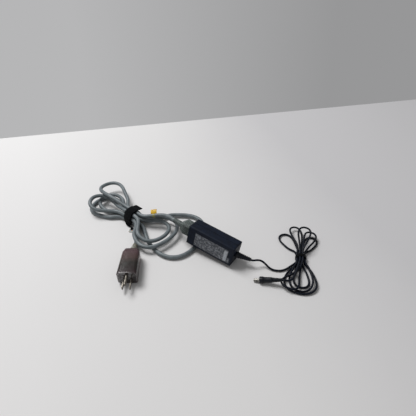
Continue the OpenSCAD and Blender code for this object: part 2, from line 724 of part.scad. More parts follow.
module output_choke() {
    color("#7a4f2a") place() translate([outcap_x, board_face - outchoke_t / 2, 0])
        rotate([90, 0, 0]) difference() {
            cylinder(h = outchoke_t, r = outchoke_r, center = true);
            cylinder(h = outchoke_t + 1, r = outchoke_r / 2.5, center = true);
        }
}

// ---- low-voltage side ----
module dc_strain_relief() {
    color("#1b1b20") {
        place() rotate([0, 90, 0]) {
            translate([0, 0, half_l - wall - fit_gap - dc_flange_t])
                cylinder(h = dc_flange_t, d = dc_neck_d + 3);
            translate([0, 0, half_l - wall - 2 * fit_gap])
                cylinder(h = wall + 4 * fit_gap, d = dc_neck_d);
            translate([0, 0, half_l + fit_gap])
                cylinder(h = dc_collar_l - fit_gap, d = dc_relief_d);
        }
        aimed(dc_relief_root - dc_ahead, dc_relief_aim)
            ribbed(dc_relief_l + 1, dc_relief_d - 0.6, dc_tip_d, 7, 2);
    }
}
module dc_cord_lead() { color("#15151a") tube(smooth_route(dc_lead_route, 2), dc_d, 8); }
module dc_cord_hank() { color("#15151a") tube(dc_hank_route, dc_d, 6); }
module dc_cord_tail() { color("#15151a") tube(smooth_route(dc_tail_route, 2), dc_d, 8); }
// a band round the seats of a hank; grow is its distance outside the cords
module seat_outline(seats, grow) {
    hull() for (seat = seats) translate(seat) circle(grow, $fn = 32);
}
module on_hank(tie) {
    translate([tie[0][0], tie[0][1], 0]) rotate([0, 0, tie[1]]) children();
}
module dc_tie() {
    color("#101014") on_hank(DC_TIE) along_x(dc_tie_w) difference() {
        seat_outline(DC_SEATS, dc_d / 2 + tie_slack + dc_tie_t);
        seat_outline(DC_SEATS, dc_d / 2 + tie_slack);
    }
}
// grip: a ribbed tail, a waist and a collar, turned about its axis
module dc_plug_grip() {
    color("#17171c") aimed(grip_rear_at, grip_aim) difference() {
        union() {
            ribbed(grip_tail_l, dc_d + 1.6, dc_d + 2.8, 6);
            rotate_extrude() polygon([[0, grip_tail_l - eps], [dc_d / 2 + 1.4, grip_tail_l - eps],
                [dc_grip_d / 2 - 1.2, grip_tail_l + 3], [dc_grip_d / 2 - 1.4, dc_grip_l - 9],
                [dc_grip_d / 2 - 0.2, dc_grip_l - 7], [dc_grip_d / 2, dc_grip_l - 6],
                [dc_grip_d / 2, dc_grip_l - 0.6], [dc_grip_d / 2 - 0.6, dc_grip_l],
                [0, dc_grip_l]]);
        }
        translate([0, 0, dc_grip_l - barrel_root])
            cylinder(h = barrel_root + 1, d = barrel_flange);
    }
}
module on_barrel() {
    aimed(grip_rear_at, grip_aim) translate([0, 0, dc_grip_l - barrel_root]) children();
}
module pipe(outer, inner, length) {
    difference() {
        cylinder(h = length, d = outer);
        translate([0, 0, -1]) cylinder(h = length + 2, d = inner);
    }
}
module dc_plug_barrel() {
    color("#c4c7cc") on_barrel() {
        pipe(barrel_d, sleeve_bore, barrel_root + barrel_l);
        pipe(barrel_flange, sleeve_bore, barrel_root);
    }
}
module dc_plug_insulator() {
    color("#0f0f12") on_barrel() difference() {
        pipe(sleeve_bore, barrel_bore, barrel_root + barrel_l - 0.2);
        translate([0, 0, -1]) cylinder(h = contact_l + 1, d = contact_d);
    }
}
module dc_plug_contact() {
    color("#d0b25a") on_barrel() pipe(contact_d, barrel_bore - 0.4, contact_l);
}

// ---- detachable mains lead ----
module connector_body() {
    color("#5d625f") difference() {
        place() difference() {
            union() {
                translate([(nose_tip + grip_front - 1) / 2, 0, 0])
                    along_x(nose_l + 1) nose_outline(nose_w, nose_t, nose_cut);
                translate([grip_front - grip_l / 2, 0, 0]) along_x(grip_l) grip_outline();
                hull() {
                    translate([grip_front - grip_l + 0.5, 0, 0]) along_x(1) grip_outline();
                    translate([grip_back + 0.5, 0, 0]) along_x(1) rounded(tail_t, tail_w, 3);
                }
            }
            for (pin = PINS) translate([nose_tip, pin[1], pin[0]]) {
                cube([2 * slot_depth, slot_h, slot_w], center = true);
                translate([-slot_depth - pocket_l / 2, 0, 0])
                    cube([pocket_l, pocket_h, pocket_w], center = true);
            }
        }
        aimed(mains_relief_root - 3 * mains_ahead, mains_relief_aim)
            cylinder(h = 5, d = mains_relief_d);
    }
}
module grip_outline() {
    intersection() {
        rounded(grip_t, grip_w, 2.5);
        nose_outline(grip_w, grip_t, nose_cut - 1);
    }
}
module connector_contacts() {
    color("#c8a24a") place() for (pin = PINS)
        translate([nose_tip - slot_depth - clip_l / 2 - 0.1, pin[1], pin[0]]) difference() {
            cube([clip_l, clip_h, clip_w], center = true);
            translate([1, 0, 0]) cube([clip_l, clip_in_h, clip_in_w], center = true);
        }
}
module connector_strain_relief() {
    color("#6b706d") aimed(mains_relief_root - 3 * mains_ahead, mains_relief_aim)
        ribbed(mains_relief_l + 3, mains_relief_d, mains_tip_d, 6, 3);
}
module mains_cord_lead() { color("#8b908e") tube(smooth_route(mains_lead_route, 2), mains_d, 10); }
module mains_cord_hank() { color("#8b908e") tube(mains_hank_route, mains_d, 6); }
module mains_cord_tail() { color("#8b908e") tube(smooth_route(mains_tail_route, 2), mains_d, 10); }
module cord_strap() {
    color("#16161a") {
        on_hank(MAINS_TIE) along_x(strap_w) difference() {
            union() {
                seat_outline(MAINS_SEATS, mains_d / 2 + strap_gap + strap_t);
                // the free end laps over the top, towards the back
                intersection() {
                    seat_outline(MAINS_SEATS, mains_d / 2 + strap_gap + 2 * strap_t);
                    translate([-mains_step, row_b]) square(4 * mains_step);
                }
            }
            seat_outline(MAINS_SEATS, mains_d / 2 + strap_gap);
        }
        // the band's foot, folded in towards the ring
        hull() {
            on_hank(MAINS_TIE) translate([-strap_w / 2, -mains_step - mains_d / 2 - 1, 0.5])
                cube([strap_w, 1.5, mains_d]);
            translate([ring_at[0], ring_at[1], 0.5]) rotate([0, 0, ring_turn])
                translate([-2.8, ring_size / 2, 0]) cube([5.6, 0.1, 1.2]);
        }
    }
}
module strap_ring() {
    color("#c8cac4") translate([ring_at[0], ring_at[1], 0]) rotate([0, 0, ring_turn])
        difference() {
            linear_extrude(2.2) rounded(ring_size, ring_size, 1.5);
            translate([0, 0, -1]) linear_extrude(5) rounded(5.6, 3.8, 1);
        }
}
module yellow_tag() {
    color("#d0a32e") aimed(tag_at, tag_aim) {
        difference() {
            cylinder(h = 6, d = mains_d + 2);
            translate([0, 0, -1]) cylinder(h = 8, d = mains_d + 0.8);
        }
        rotate([0, 0, tag_turn]) translate([-0.5, mains_d / 2 + 0.3, -2]) cube([1, 11, 10]);
    }
}

// ---- mains plug: +Z runs out of its face, +X down, +Y across the blades ----
module plug_slab(z, t, w, r) { translate([0, 0, z]) linear_extrude(0.5) rounded(t, w, r); }
module plug_body() {
    color("#3f3335") difference() {
        aimed(plug_face_at, plug_aim) difference() {
            union() {
                hull() {
                    plug_slab(-plug_l, plug_t - 7, plug_w - 8, 5);
                    plug_slab(-plug_l + shoulder_l, plug_t - 1, plug_w - 3, 7);
                }
                hull() {
                    plug_slab(-plug_l + shoulder_l, plug_t - 1, plug_w - 3, 7);
                    plug_slab(-1.5, plug_t, plug_w, 5);
                }
            }
            translate([0, 0, -face_t]) linear_extrude(face_t)
                rounded(plug_t - 2 * rim, plug_w - 2 * rim, 5 - rim / 2);
        }
        aimed(plug_rear_at - socket_in * plug_relief_ahead, plug_relief_aim)
            cylinder(h = 2 * socket_in, d = plug_relief_d);
    }
}
module plug_face() {
    color("#57494a") aimed(plug_face_at, plug_aim) difference() {
        translate([0, 0, -face_t]) linear_extrude(face_t)
            rounded(plug_t - 2 * rim, plug_w - 2 * rim, 5 - rim / 2);
        for (y = [-1, 1]) translate([blade_x, y * blade_pitch / 2, 0])
            cube([blade_w, blade_t, 3 * face_t], center = true);
        translate([blade_x - earth_off, 0, -face_t - 1])
            cylinder(h = face_t + 2, d = earth_root_d);
    }
}
module plug_blades() {
    color("#c9c6bb") aimed(plug_face_at, plug_aim) for (y = [-1, 1])
        translate([blade_x, y * blade_pitch / 2, (blade_l - face_t) / 2])
            cube([blade_w, blade_t, blade_l + face_t], center = true);
}
module plug_earth_pin() {
    color("#c9c6bb") aimed(plug_face_at, plug_aim) translate([blade_x - earth_off, 0, 0]) {
        translate([0, 0, -face_t]) cylinder(h = face_t + eps, d = earth_root_d);
        cylinder(h = earth_l - earth_d / 2, d = earth_d);
        translate([0, 0, earth_l - earth_d / 2]) sphere(d = earth_d);
    }
}
module plug_strain_relief() {
    color("#a7a48f") {
        aimed(plug_rear_at - plug_relief_l * plug_relief_ahead, plug_relief_aim)
            ribbed(plug_relief_l, mains_d + 2, plug_relief_d, 7);
        aimed(plug_rear_at - eps * plug_relief_ahead, plug_relief_aim)
            cylinder(h = socket_in + eps, d = plug_relief_d);
    }
}

shell_label_side();
shell_plain_side();
rating_label();
blank_patch();
inlet_housing();
inlet_pins();
circuit_board();
insulation_sheet();
fuse();
x_capacitor();
filter_choke();
bridge_rectifier();
bulk_capacitor();
primary_heatsink();
switching_transistor();
transformer_core();
transformer_winding();
secondary_heatsink();
output_rectifier();
output_capacitors();
output_choke();
dc_strain_relief();
dc_cord_lead();
dc_cord_hank();
dc_cord_tail();
dc_tie();
dc_plug_grip();
dc_plug_barrel();
dc_plug_insulator();
dc_plug_contact();
connector_body();
connector_contacts();
connector_strain_relief();
mains_cord_lead();
mains_cord_hank();
mains_cord_tail();
cord_strap();
strap_ring();
yellow_tag();
plug_strain_relief();
plug_body();
plug_face();
plug_blades();
plug_earth_pin();
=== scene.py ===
"""Laptop power adapter: a slim brick, a mains lead hanked under a strap and a captive
low-voltage lead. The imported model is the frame: its rigid solids get their finishes
here, and the cords, straps, reliefs and the plug's smoky body are surfaces on grids."""
import math

import bpy
import numpy as np
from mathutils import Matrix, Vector


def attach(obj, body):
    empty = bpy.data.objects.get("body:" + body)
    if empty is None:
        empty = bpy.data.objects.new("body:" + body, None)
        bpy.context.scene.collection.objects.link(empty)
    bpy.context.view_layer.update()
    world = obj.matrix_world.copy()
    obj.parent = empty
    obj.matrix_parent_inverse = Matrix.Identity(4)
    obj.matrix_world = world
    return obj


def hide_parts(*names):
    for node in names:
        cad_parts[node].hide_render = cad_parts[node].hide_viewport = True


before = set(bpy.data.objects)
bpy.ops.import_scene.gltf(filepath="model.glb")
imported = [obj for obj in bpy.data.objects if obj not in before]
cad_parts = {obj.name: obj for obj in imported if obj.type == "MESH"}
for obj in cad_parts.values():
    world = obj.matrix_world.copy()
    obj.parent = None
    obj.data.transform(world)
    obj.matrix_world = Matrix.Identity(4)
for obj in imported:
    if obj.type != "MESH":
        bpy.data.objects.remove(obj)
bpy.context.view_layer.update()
MM = 0.001

# ---------------------------------------------------------------- camera
CAMERA_AT = (0.2271, -0.3770, 0.4710)
LOOKS_DOWN, LOOKS_LEFT = 39.6, 32.4  # degrees below level and left of +Y
LENS_MM, SENSOR_MM = 29.42, 36.0
camera_data = bpy.data.cameras.new("camera")
camera_data.lens = LENS_MM
camera_data.sensor_width = SENSOR_MM
camera = bpy.data.objects.new("camera", camera_data)
camera.location = CAMERA_AT
camera.rotation_euler = (math.radians(90 - LOOKS_DOWN), 0, math.radians(LOOKS_LEFT))
bpy.context.scene.collection.objects.link(camera)
bpy.context.scene.camera = camera


# ---------------------------------------------------------------- shared formulas
def degrees_heading(azimuth, rise):
    """Unit vector of an azimuth from +X and a rise above the floor, in degrees."""
    a, r = np.radians(azimuth), np.radians(rise)
    return np.array([np.cos(r) * np.cos(a), np.cos(r) * np.sin(a), np.sin(r)])


def ease(x):
    """Smooth step: 3 c^2 - 2 c^3 of x clipped to 0..1."""
    c = np.clip(x, 0, 1)
    return c * c * (3 - 2 * c)


def rounded(distance, reach, depth):
    """How far a rim falls back at a distance from its end: depth times one less a quarter
    circle, (1 - sqrt(1 - c^2)) of c from 1 at the end to 0 at the reach."""
    c = np.clip(1 - distance / reach, 0, 1)
    return depth * (1 - np.sqrt(1 - c ** 2 + 1e-9))


def unit(v):
    """Vectors along the last axis, each divided by its length."""
    return v / np.maximum(np.linalg.norm(v, axis=-1, keepdims=True), 1e-12)


# the brick's own size and its pose on the floor, as in the part's source
BRICK_L, BRICK_T, BRICK_W = 95.0, 33.0, 39.0
EDGE_R = 2.6
LIFT, LEAN = np.radians(6.0), np.radians(11.5)
DOWN = (np.sin(LIFT), np.cos(LIFT) * np.sin(LEAN), np.cos(LIFT) * np.cos(LEAN))
REST_Z = (
    DOWN[0] * (BRICK_L / 2 - EDGE_R) + DOWN[1] * (BRICK_T / 2 - EDGE_R)
    + DOWN[2] * (BRICK_W / 2 - EDGE_R)
    + EDGE_R * math.hypot(DOWN[0] + DOWN[1], DOWN[2])
)


def placed(p):
    """Points of the brick's own frame: leaned about X, lifted about Y, set on the floor."""
    p = np.asarray(p, float)
    y = p[..., 1] * np.cos(LEAN) + p[..., 2] * np.sin(LEAN)
    z = -p[..., 1] * np.sin(LEAN) + p[..., 2] * np.cos(LEAN)
    return np.stack([p[..., 0] * np.cos(LIFT) + z * np.sin(LIFT), y,
                     -p[..., 0] * np.sin(LIFT) + z * np.cos(LIFT) + REST_Z], -1)


# ---------------------------------------------------------------- routes of the cords
MAINS_D, DC_D = 7.6, 3.6
STRAP_W, STRAP_GAP, STRAP_T = 20.0, 0.3, 1.5
# the cords' seats under the strap: their spacing and the heights of the three rows
MAINS_STEP = 9.0
ROW_A = MAINS_D / 2 + STRAP_GAP + STRAP_T + 0.4
ROW_B = ROW_A + MAINS_STEP
ROW_C = ROW_B + 0.9 * MAINS_STEP
# tie: middle, angle, width, run-out, straight end, side of the free ends
MAINS_TIE = ((-186.0, -14.0), -6.0, STRAP_W, 75.0, MAINS_D, 1)
MAINS_SEATS = [(MAINS_STEP / 2, ROW_C), (MAINS_STEP, ROW_B), (-MAINS_STEP, ROW_B),
               (-MAINS_STEP / 2, ROW_C), (0, ROW_B), (0, ROW_A), (MAINS_STEP, ROW_A),
               (-MAINS_STEP, ROW_A)]
# loop: side, seat in, seat out, first swing, reach, width, heading, height out,
# height at the far end, height home, gather, bulb
MAINS_LOOPS = [
    (-1, 0, 1, -1, 115, 45, 17, 36, 21.6, 19.3, 0.36, 0.11),
    (1, 1, 2, 1, 94, 88, -3, 15, 12.9, 13.3, 0.4, 0),
    (-1, 2, 3, -1, 92, 44, -15, 11, 26, 9.7, 0.79, 0.05),
    (1, 3, 4, -1, 82, 62, -5, 19.2, 13.9, 13.2, 0.55, 0),
    (-1, 4, 5, 1, 89, 45, 3, 14, 12.9, 4.7, 0.58, 0),
    (1, 5, 6, -1, 143, 120, 14, 4.5, 4.5, 6.6, 0.4, 0),
    (-1, 6, 7, 1, 97, 59, -7, 4.4, 4.4, 4.5, 0.39, 0.04),
]
DC_STEP = 4.8
DC_TIE_W, DC_TIE_T = 6.0, 0.6
DC_TIE = ((145.0, 68.0), 112.0, DC_TIE_W, 30.0, DC_D, -1)
DC_SEATS = [((c - 1.5) * DC_STEP, DC_D / 2 + 0.8 + r * DC_STEP) for c, r in (
    (3, 0), (2, 0), (0, 0), (1, 0), (2, 1), (3, 1), (0, 1), (1, 1), (1, 2), (2, 2))]
DC_LOOPS = [
    (1, 0, 1, 1, 65, 25, 31, 2.4, 2.7, 2.2, 0.44, 0.1),
    (-1, 1, 2, 1, 75, 54, 2, 2.2, 2.5, 7.4, 0.35, 0),
    (1, 2, 3, -1, 62, 22, -25, 2.4, 2.4, 2.3, 0.45, 0.1),
    (-1, 3, 4, -1, 62, 26, 0, 2.2, 2.3, 5.5, 0.42, 0.1),
    (1, 4, 5, -1, 77, 22, 8, 5.4, 7.7, 16.6, 0.4, 0.11),
    (-1, 5, 6, 1, 70, 39, 1, 6.3, 2.2, 12.2, 0.35, 0),
    (1, 6, 7, -1, 68, 20, -20, 7.9, 9.3, 17.8, 0.35, 0.19),
    (-1, 7, 8, -1, 75, 25, 18, 4, 8.1, 9.2, 0.88, 0.36),
    (1, 8, 9, -1, 68, 22, -7, 21.9, 18.2, 16.9, 0.38, 0.1),
]


def on_tie(along, across, tie):
    """Floor point of a tie's own axes: turned by its angle, moved to its middle."""
    c, s = np.cos(np.radians(tie[1])), np.sin(np.radians(tie[1]))
    return np.stack([tie[0][0] + along * c - across * s,
                     tie[0][1] + along * s + across * c], -1)


def tie_end(seat, tie, reach=1.0):
    """Where a free end lies, some straight lengths outside the tie."""
    xy = on_tie(np.array(tie[5] * (tie[2] / 2 + tie[4] * reach)), np.array(seat[0]), tie)
    return np.array([xy[0], xy[1], seat[1]])


def loop_line(loop, seats, tie, steps=64):
    """One loop, t from 0 to 1: it runs out by reach sin(pi t), swings aside by
    width/2 (sin 2 pi t - bulb sin 4 pi t), turns to its heading as it opens, and its
    seat's offset and height fade into the loop's own over the run-out."""
    side, a, b, first, reach, width, turn, h_out, h_far, h_home, gather, bulb = loop
    t = np.linspace(0, 1, steps)
    out = reach * np.sin(np.pi * t)
    opened = ease(out / (gather * reach))
    away = ease(out / tie[3])
    mixed = ease(t)
    seat = [seats[a][k] + (seats[b][k] - seats[a][k]) * mixed for k in (0, 1)]
    swing = first * width / 2 * opened * (
        np.sin(2 * np.pi * t) - bulb * np.sin(4 * np.pi * t))
    angle = np.radians(turn) * opened
    height = np.where(t < 0.5, h_out + (h_far - h_out) * ease(2 * t),
                      h_far + (h_home - h_far) * ease(2 * t - 1))
    along = side * (tie[2] / 2 + out * np.cos(angle) - swing * np.sin(angle))
    across = out * np.sin(angle) + swing * np.cos(angle) + seat[0] * (1 - away)
    up = seat[1] * (1 - away) + height * away
    return np.column_stack([on_tie(along, across, tie), up])


def hank_line(loops, seats, tie):
    """A whole hank: its loops in order between its two straight ends."""
    return np.vstack([tie_end(seats[0], tie)[None]]
                     + [loop_line(loop, seats, tie) for loop in loops]
                     + [tie_end(seats[-1], tie)[None]])


def bowed(points, steps=10):
    """Catmull-Rom curve through chosen points, with mirrored points beyond the ends."""
    p = np.asarray(points, float)
    p = np.vstack([2 * p[0] - p[1], p, 2 * p[-1] - p[-2]])
    t = (np.arange(steps) / steps)[None, :, None]
    a, b, c, d = (p[k:len(p) - 3 + k, None] for k in range(4))
    q = 0.5 * (2 * b + (c - a) * t + (2 * a - 5 * b + 4 * c - d) * t ** 2
               + (3 * b - a - 3 * c + d) * t ** 3)
    return np.vstack([q.reshape(-1, 3), p[-2:-1]])


def even(points, step):
    """The same line with its points an even step of length apart."""
    arc = np.r_[0, np.cumsum(np.linalg.norm(np.diff(points, axis=0), axis=1))]
    at = np.linspace(0, arc[-1], int(round(arc[-1] / step)) + 1)
    return np.column_stack([np.interp(at, arc, points[:, k]) for k in range(3)])


def relaxed(points, step, reach):
    """An even line averaged along itself by a bell curve, exp(-(distance/reach)^2 / 2),
    with its ends held by mirrored points."""
    line = even(points, step)
    n = int(3 * reach / step) + 1
    bell = np.exp(-0.5 * (np.arange(-n, n + 1) * step / reach) ** 2)
    bell /= bell.sum()
    head = 2 * line[0] - line[1:n + 1][::-1]
    tail = 2 * line[-1] - line[-n - 1:-1][::-1]
    longer = np.vstack([head, line, tail])
    soft = np.column_stack([np.convolve(longer[:, k], bell, "valid") for k in range(3)])
    return even(soft, step)


# a cord's points lie this far apart, and its bends are eased over this length
MAINS_POINTS, MAINS_SOFT = 2.5, 4.0
DC_POINTS, DC_SOFT = 1.6, 2.0

# connector, its relief and the lead up to the strap
GRIP_FRONT = -BRICK_L / 2 - 0.5
GRIP_L, TAPER_L, GRIP_T = 15.0, 8.0, 19.5
GRIP_BACK = GRIP_FRONT - GRIP_L - TAPER_L
MAINS_ROOT = placed([GRIP_BACK, 0, 0])
MAINS_AHEAD = degrees_heading(170, -1)
MAINS_RELIEF_L = 21.0
MAINS_TIP = MAINS_ROOT + MAINS_RELIEF_L * MAINS_AHEAD
CONNECTOR_AHEAD = placed([-1, 0, 0]) - placed([0, 0, 0])
mains_lead_points = [
    MAINS_ROOT - 4 * CONNECTOR_AHEAD, MAINS_ROOT + 2 * CONNECTOR_AHEAD,
    MAINS_ROOT + 0.55 * MAINS_RELIEF_L * MAINS_AHEAD, MAINS_TIP,
    MAINS_TIP + MAINS_D * MAINS_AHEAD, [-108, 7.6, 32], [-121, 6.6, 30.2],
    [-133, 2, 28], [-144, -4.6, 26], [-152, -9.4, 24.4],
    tie_end(MAINS_SEATS[0], MAINS_TIE, 2), tie_end(MAINS_SEATS[0], MAINS_TIE)]
# plug and its relief, and the tail up to the strap
PLUG_FACE = np.array([-84.0, -141.0, 14.8])
PLUG_AHEAD = degrees_heading(-56, 0)
PLUG_L, PLUG_W, PLUG_T = 60.0, 34.0, 28.0
PLUG_REAR = PLUG_FACE - PLUG_L * PLUG_AHEAD
PLUG_RELIEF_L = 28.0
PLUG_RELIEF_AHEAD = degrees_heading(-58, 19)
PLUG_TIP = PLUG_REAR - PLUG_RELIEF_L * PLUG_RELIEF_AHEAD
mains_tail_points = [
    tie_end(MAINS_SEATS[-1], MAINS_TIE), tie_end(MAINS_SEATS[-1], MAINS_TIE, 1.5),
    [-161.6, -29, 5.2], [-155.5, -36.5, 4.4], [-149, -45, 4.1], [-141.5, -55, 4.1],
    PLUG_TIP - 0.4 * MAINS_D * PLUG_RELIEF_AHEAD, PLUG_TIP,
    PLUG_REAR - 0.4 * PLUG_RELIEF_L * PLUG_RELIEF_AHEAD - [0, 0, 0.8],
    PLUG_REAR - 1 * PLUG_AHEAD, PLUG_REAR + 6 * PLUG_AHEAD]
mains_line = relaxed(np.vstack([bowed(mains_lead_points)[:-1],
                                hank_line(MAINS_LOOPS, MAINS_SEATS, MAINS_TIE),
                                bowed(mains_tail_points)[1:]]), MAINS_POINTS, MAINS_SOFT)

# low-voltage relief and lead, and the tail up to the barrel plug
DC_COLLAR_L, DC_RELIEF_L = 4.0, 24.0
DC_ROOT = placed([BRICK_L / 2 + DC_COLLAR_L, 0, 0])
DC_AHEAD = degrees_heading(15, -12)
DC_TIP = DC_ROOT + DC_RELIEF_L * DC_AHEAD
GRIP_REAR = np.array([137.0, -4.0, 13.2])
GRIP_AHEAD = degrees_heading(202, -12)
dc_lead_points = [
    DC_ROOT - 6 * DC_AHEAD, DC_ROOT, DC_ROOT + 0.5 * DC_RELIEF_L * DC_AHEAD, DC_TIP,
    DC_TIP + DC_D * DC_AHEAD, [81.4, 11.4, 14.9], [87.5, 16.6, 13], [94.5, 18.6, 9.4],
    [101.2, 17.9, 5.8], [107.4, 17.3, 3.5], [113.5, 17.8, 2.5], [121, 20.6, 2.3],
    [128.3, 26.4, 2.3], [133.5, 35, 2.4], [136.6, 43.4, 2.5], [139.9, 51, 2.6],
    tie_end(DC_SEATS[0], DC_TIE, 1.5), tie_end(DC_SEATS[0], DC_TIE)]
dc_tail_points = [
    tie_end(DC_SEATS[-1], DC_TIE), tie_end(DC_SEATS[-1], DC_TIE, 2), [147.5, 50, 12.2],
    [149.5, 38, 13], [151, 26, 13.4], [152, 14, 13.8], [151, 5, 14.2], [146.5, -0.6, 14.2],
    GRIP_REAR - DC_D * GRIP_AHEAD, GRIP_REAR, GRIP_REAR + 6 * GRIP_AHEAD]
dc_line = relaxed(np.vstack([bowed(dc_lead_points)[:-1],
                             hank_line(DC_LOOPS, DC_SEATS, DC_TIE),
                             bowed(dc_tail_points)[1:]]), DC_POINTS, DC_SOFT)


# ---------------------------------------------------------------- surfaces
def piece(name, verts, faces, body, crease=35.0):
    """A mesh object in metres from points in millimetres, its faces turned outwards by
    the sign of the enclosed volume, smooth up to the crease angle."""
    verts = np.asarray(verts, float) * MM
    tri = [(f[0], f[k], f[k + 1]) for f in faces for k in range(1, len(f) - 1)]
    corner = verts[np.asarray(tri)]
    volume = np.einsum("ij,ij->", corner[:, 0], np.cross(corner[:, 1], corner[:, 2]))
    if volume < 0:
        faces = [f[::-1] for f in faces]
    mesh = bpy.data.meshes.new(name)
    mesh.from_pydata(verts.tolist(), [], faces)
    mesh.polygons.foreach_set("use_smooth", np.ones(len(faces), bool))
    mesh.set_sharp_from_angle(angle=math.radians(crease))
    mesh.update()
    obj = bpy.data.objects.new(name, mesh)
    bpy.context.scene.collection.objects.link(obj)
    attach(obj, body)
    return obj


def grid_faces(rows, cols, close_rows=False):
    """Four-sided faces between neighbouring rows and columns of a point grid. Each row
    is a ring, and the last row meets the first where asked."""
    r = np.arange(rows if close_rows else rows - 1)[:, None]
    c = np.arange(cols)[None, :]
    below, above, beside = r * cols, (r + 1) % rows * cols, (c + 1) % cols
    faces = np.stack([below + c, below + beside, above + beside, above + c], -1)
    return faces.reshape(-1, 4).tolist()


def skin(rows):
    """A closed skin over rows of points: faces between rows and one face at each end."""
    m, k = rows.shape[:2]
    faces = grid_faces(m, k)
    faces.append(list(range(k)))
    faces.append(list(range((m - 1) * k, m * k))[::-1])
    return rows.reshape(-1, 3), faces


def across_and_up(ahead):
    """The level direction across a heading, or across each of many, and the one square
    to both, as in the part's source."""
    across = unit(np.cross([0.0, 0.0, 1.0], ahead))
    return across, np.cross(ahead, across)


def tube_rows(line, radius, sides):
    """Rings of a tube: line + r (cos a across + sin a up), r one value or one a point."""
    across, up = across_and_up(unit(np.gradient(line, axis=0)))
    a = 2 * np.pi * np.arange(sides) / sides
    r = np.broadcast_to(radius, (len(line),))[:, None, None]
    return line[:, None] + r * (np.cos(a)[None, :, None] * across[:, None]
                                + np.sin(a)[None, :, None] * up[:, None])


def rib_radius(s, length, r0, r1, ribs, depth, root):
    """Radius along a ribbed relief: a straight taper from r0 to r1 with soft grooves cut
    in it, one groove between each pair of ribs, after a plain root, and a rounded tip."""
    pitch = (length - root) / (ribs - 0.4)
    phase = (s - root) / pitch % 1.0
    groove = ease((phase - 0.56) / 0.12) * ease((1.0 - phase) / 0.12)
    groove = groove * (s > root) * (s < root + (ribs - 1) * pitch)
    taper = r0 + (r1 - r0) * np.clip((s - root) / (length - root), 0, 1)
    return taper - depth * groove - rounded(length - s, 0.5, 0.35)


def turned(start, ahead, profile, sides=40):
    """A shape turned about a straight axis: rings of the profile's radii at its heights."""
    profile = np.asarray(profile, float)
    line = start + profile[:, 0, None] * ahead
    across, up = across_and_up(ahead)
    a = 2 * np.pi * np.arange(sides) / sides
    ring = np.cos(a)[:, None] * across + np.sin(a)[:, None] * up
    return line[:, None] + profile[:, 1, None, None] * ring[None]


def strip_rows(centres, sides, normals, widths, thick, corner=0.7):
    """A flat strip: each point of its underside carries a rounded rectangle, widths
    across along sides and thick out along normals."""
    q = np.radians(np.arange(28) * 360 / 28)
    r = min(thick / 2 * 0.95, corner)
    u = np.sign(np.cos(q)) * 0.5
    v = thick / 2 + np.sign(np.sin(q)) * (thick / 2 - r) + r * np.sin(q)
    wide = np.broadcast_to(widths, (len(centres),))[:, None] - 2 * r
    across = wide * u + r * np.cos(q)
    return (centres[:, None] + across[..., None] * sides[:, None]
            + v[None, :, None] * normals[:, None])


def seat_line(seats, radius, degrees):
    """The tight outline of a bundle at a distance from its cords: for each angle the
    seat furthest that way plus the radius. Gives points and the way outwards there."""
    seats = np.asarray(seats, float)
    a = np.radians(degrees)
    out = np.column_stack([np.cos(a), np.sin(a)])
    far = seats[np.argmax(out @ seats.T, axis=1)]
    # each change of seat gets both its ends, so the straight stretch is exact
    step = 1 + np.nonzero(np.any(far[1:] != far[:-1], axis=1))[0]
    base = np.insert(far, step, far[step - 1], axis=0)
    out = np.insert(out, step, out[step], axis=0)
    return base + radius * out, out


def in_tie(flat, out, tie):
    """Tie-plane points and normals [across, up] as points, sides and normals in space."""
    along = on_tie(np.array(1.0), np.array(0.0), tie) - np.array(tie[0])
    over = on_tie(np.array(0.0), np.array(1.0), tie) - np.array(tie[0])
    points = np.column_stack([np.array(tie[0]) + flat[:, :1] * over, flat[:, 1]])
    normals = np.column_stack([out[:, :1] * over, out[:, 1]])
    return points, np.tile([along[0], along[1], 0.0], (len(flat), 1)), normals


def rounded_box_rows(s, half_up, half_wide, radius, origin, ahead, sides=48):
    """Rings of a box with rounded edges along an axis: at each distance s the half
    height, half width and corner radius give a rounded rectangle. Each corner carries a
    quarter of the points and the sides between are straight."""
    across, up = across_and_up(ahead)
    a = 2 * np.pi * (np.arange(sides) + 0.5) / sides
    c, d = np.cos(a), np.sin(a)
    r = np.minimum(radius, np.minimum(half_up, half_wide))[:, None]
    y = np.sign(c) * (half_wide[:, None] - r) + r * c
    z = np.sign(d) * (half_up[:, None] - r) + r * d
    return origin + s[:, None, None] * ahead + y[..., None] * across + z[..., None] * up


# ---------------------------------------------------------------- materials
def linear(hex_text):
    """An sRGB hex value as linear light, with alpha 1."""
    c = np.array([int(hex_text[k:k + 2], 16) for k in (1, 3, 5)]) / 255.0
    c = np.where(c <= 0.04045, c / 12.92, ((c + 0.055) / 1.055) ** 2.4)
    return (float(c[0]), float(c[1]), float(c[2]), 1.0)


def add(tree, kind, inputs=None, **settings):
    """Adds a node: settings are its properties, inputs its sockets' values or links."""
    node = tree.nodes.new(kind)
    for key, value in settings.items():
        setattr(node, key, value)
    for key, value in (inputs or {}).items():
        if isinstance(value, bpy.types.NodeSocket):
            tree.links.new(value, node.inputs[key])
        else:
            node.inputs[key].default_value = value
    return node


def cloud(tree, place, size_mm, detail=4.0):
    """Soft noise whose patches are about size_mm across."""
    return add(tree, "ShaderNodeTexNoise", {
        "Vector": place, "Scale": 1.0 / (size_mm * MM), "Detail": detail}).outputs["Fac"]


def ramp(tree, factor, stops):
    """A colour for a factor: stops of position and sRGB hex value."""
    node = add(tree, "ShaderNodeValToRGB", {"Fac": factor})
    elements = node.color_ramp.elements
    while len(elements) < len(stops):
        elements.new(1.0)
    for element, (at, colour) in zip(elements, stops):
        element.position, element.color = at, linear(colour)
    return node.outputs["Color"]


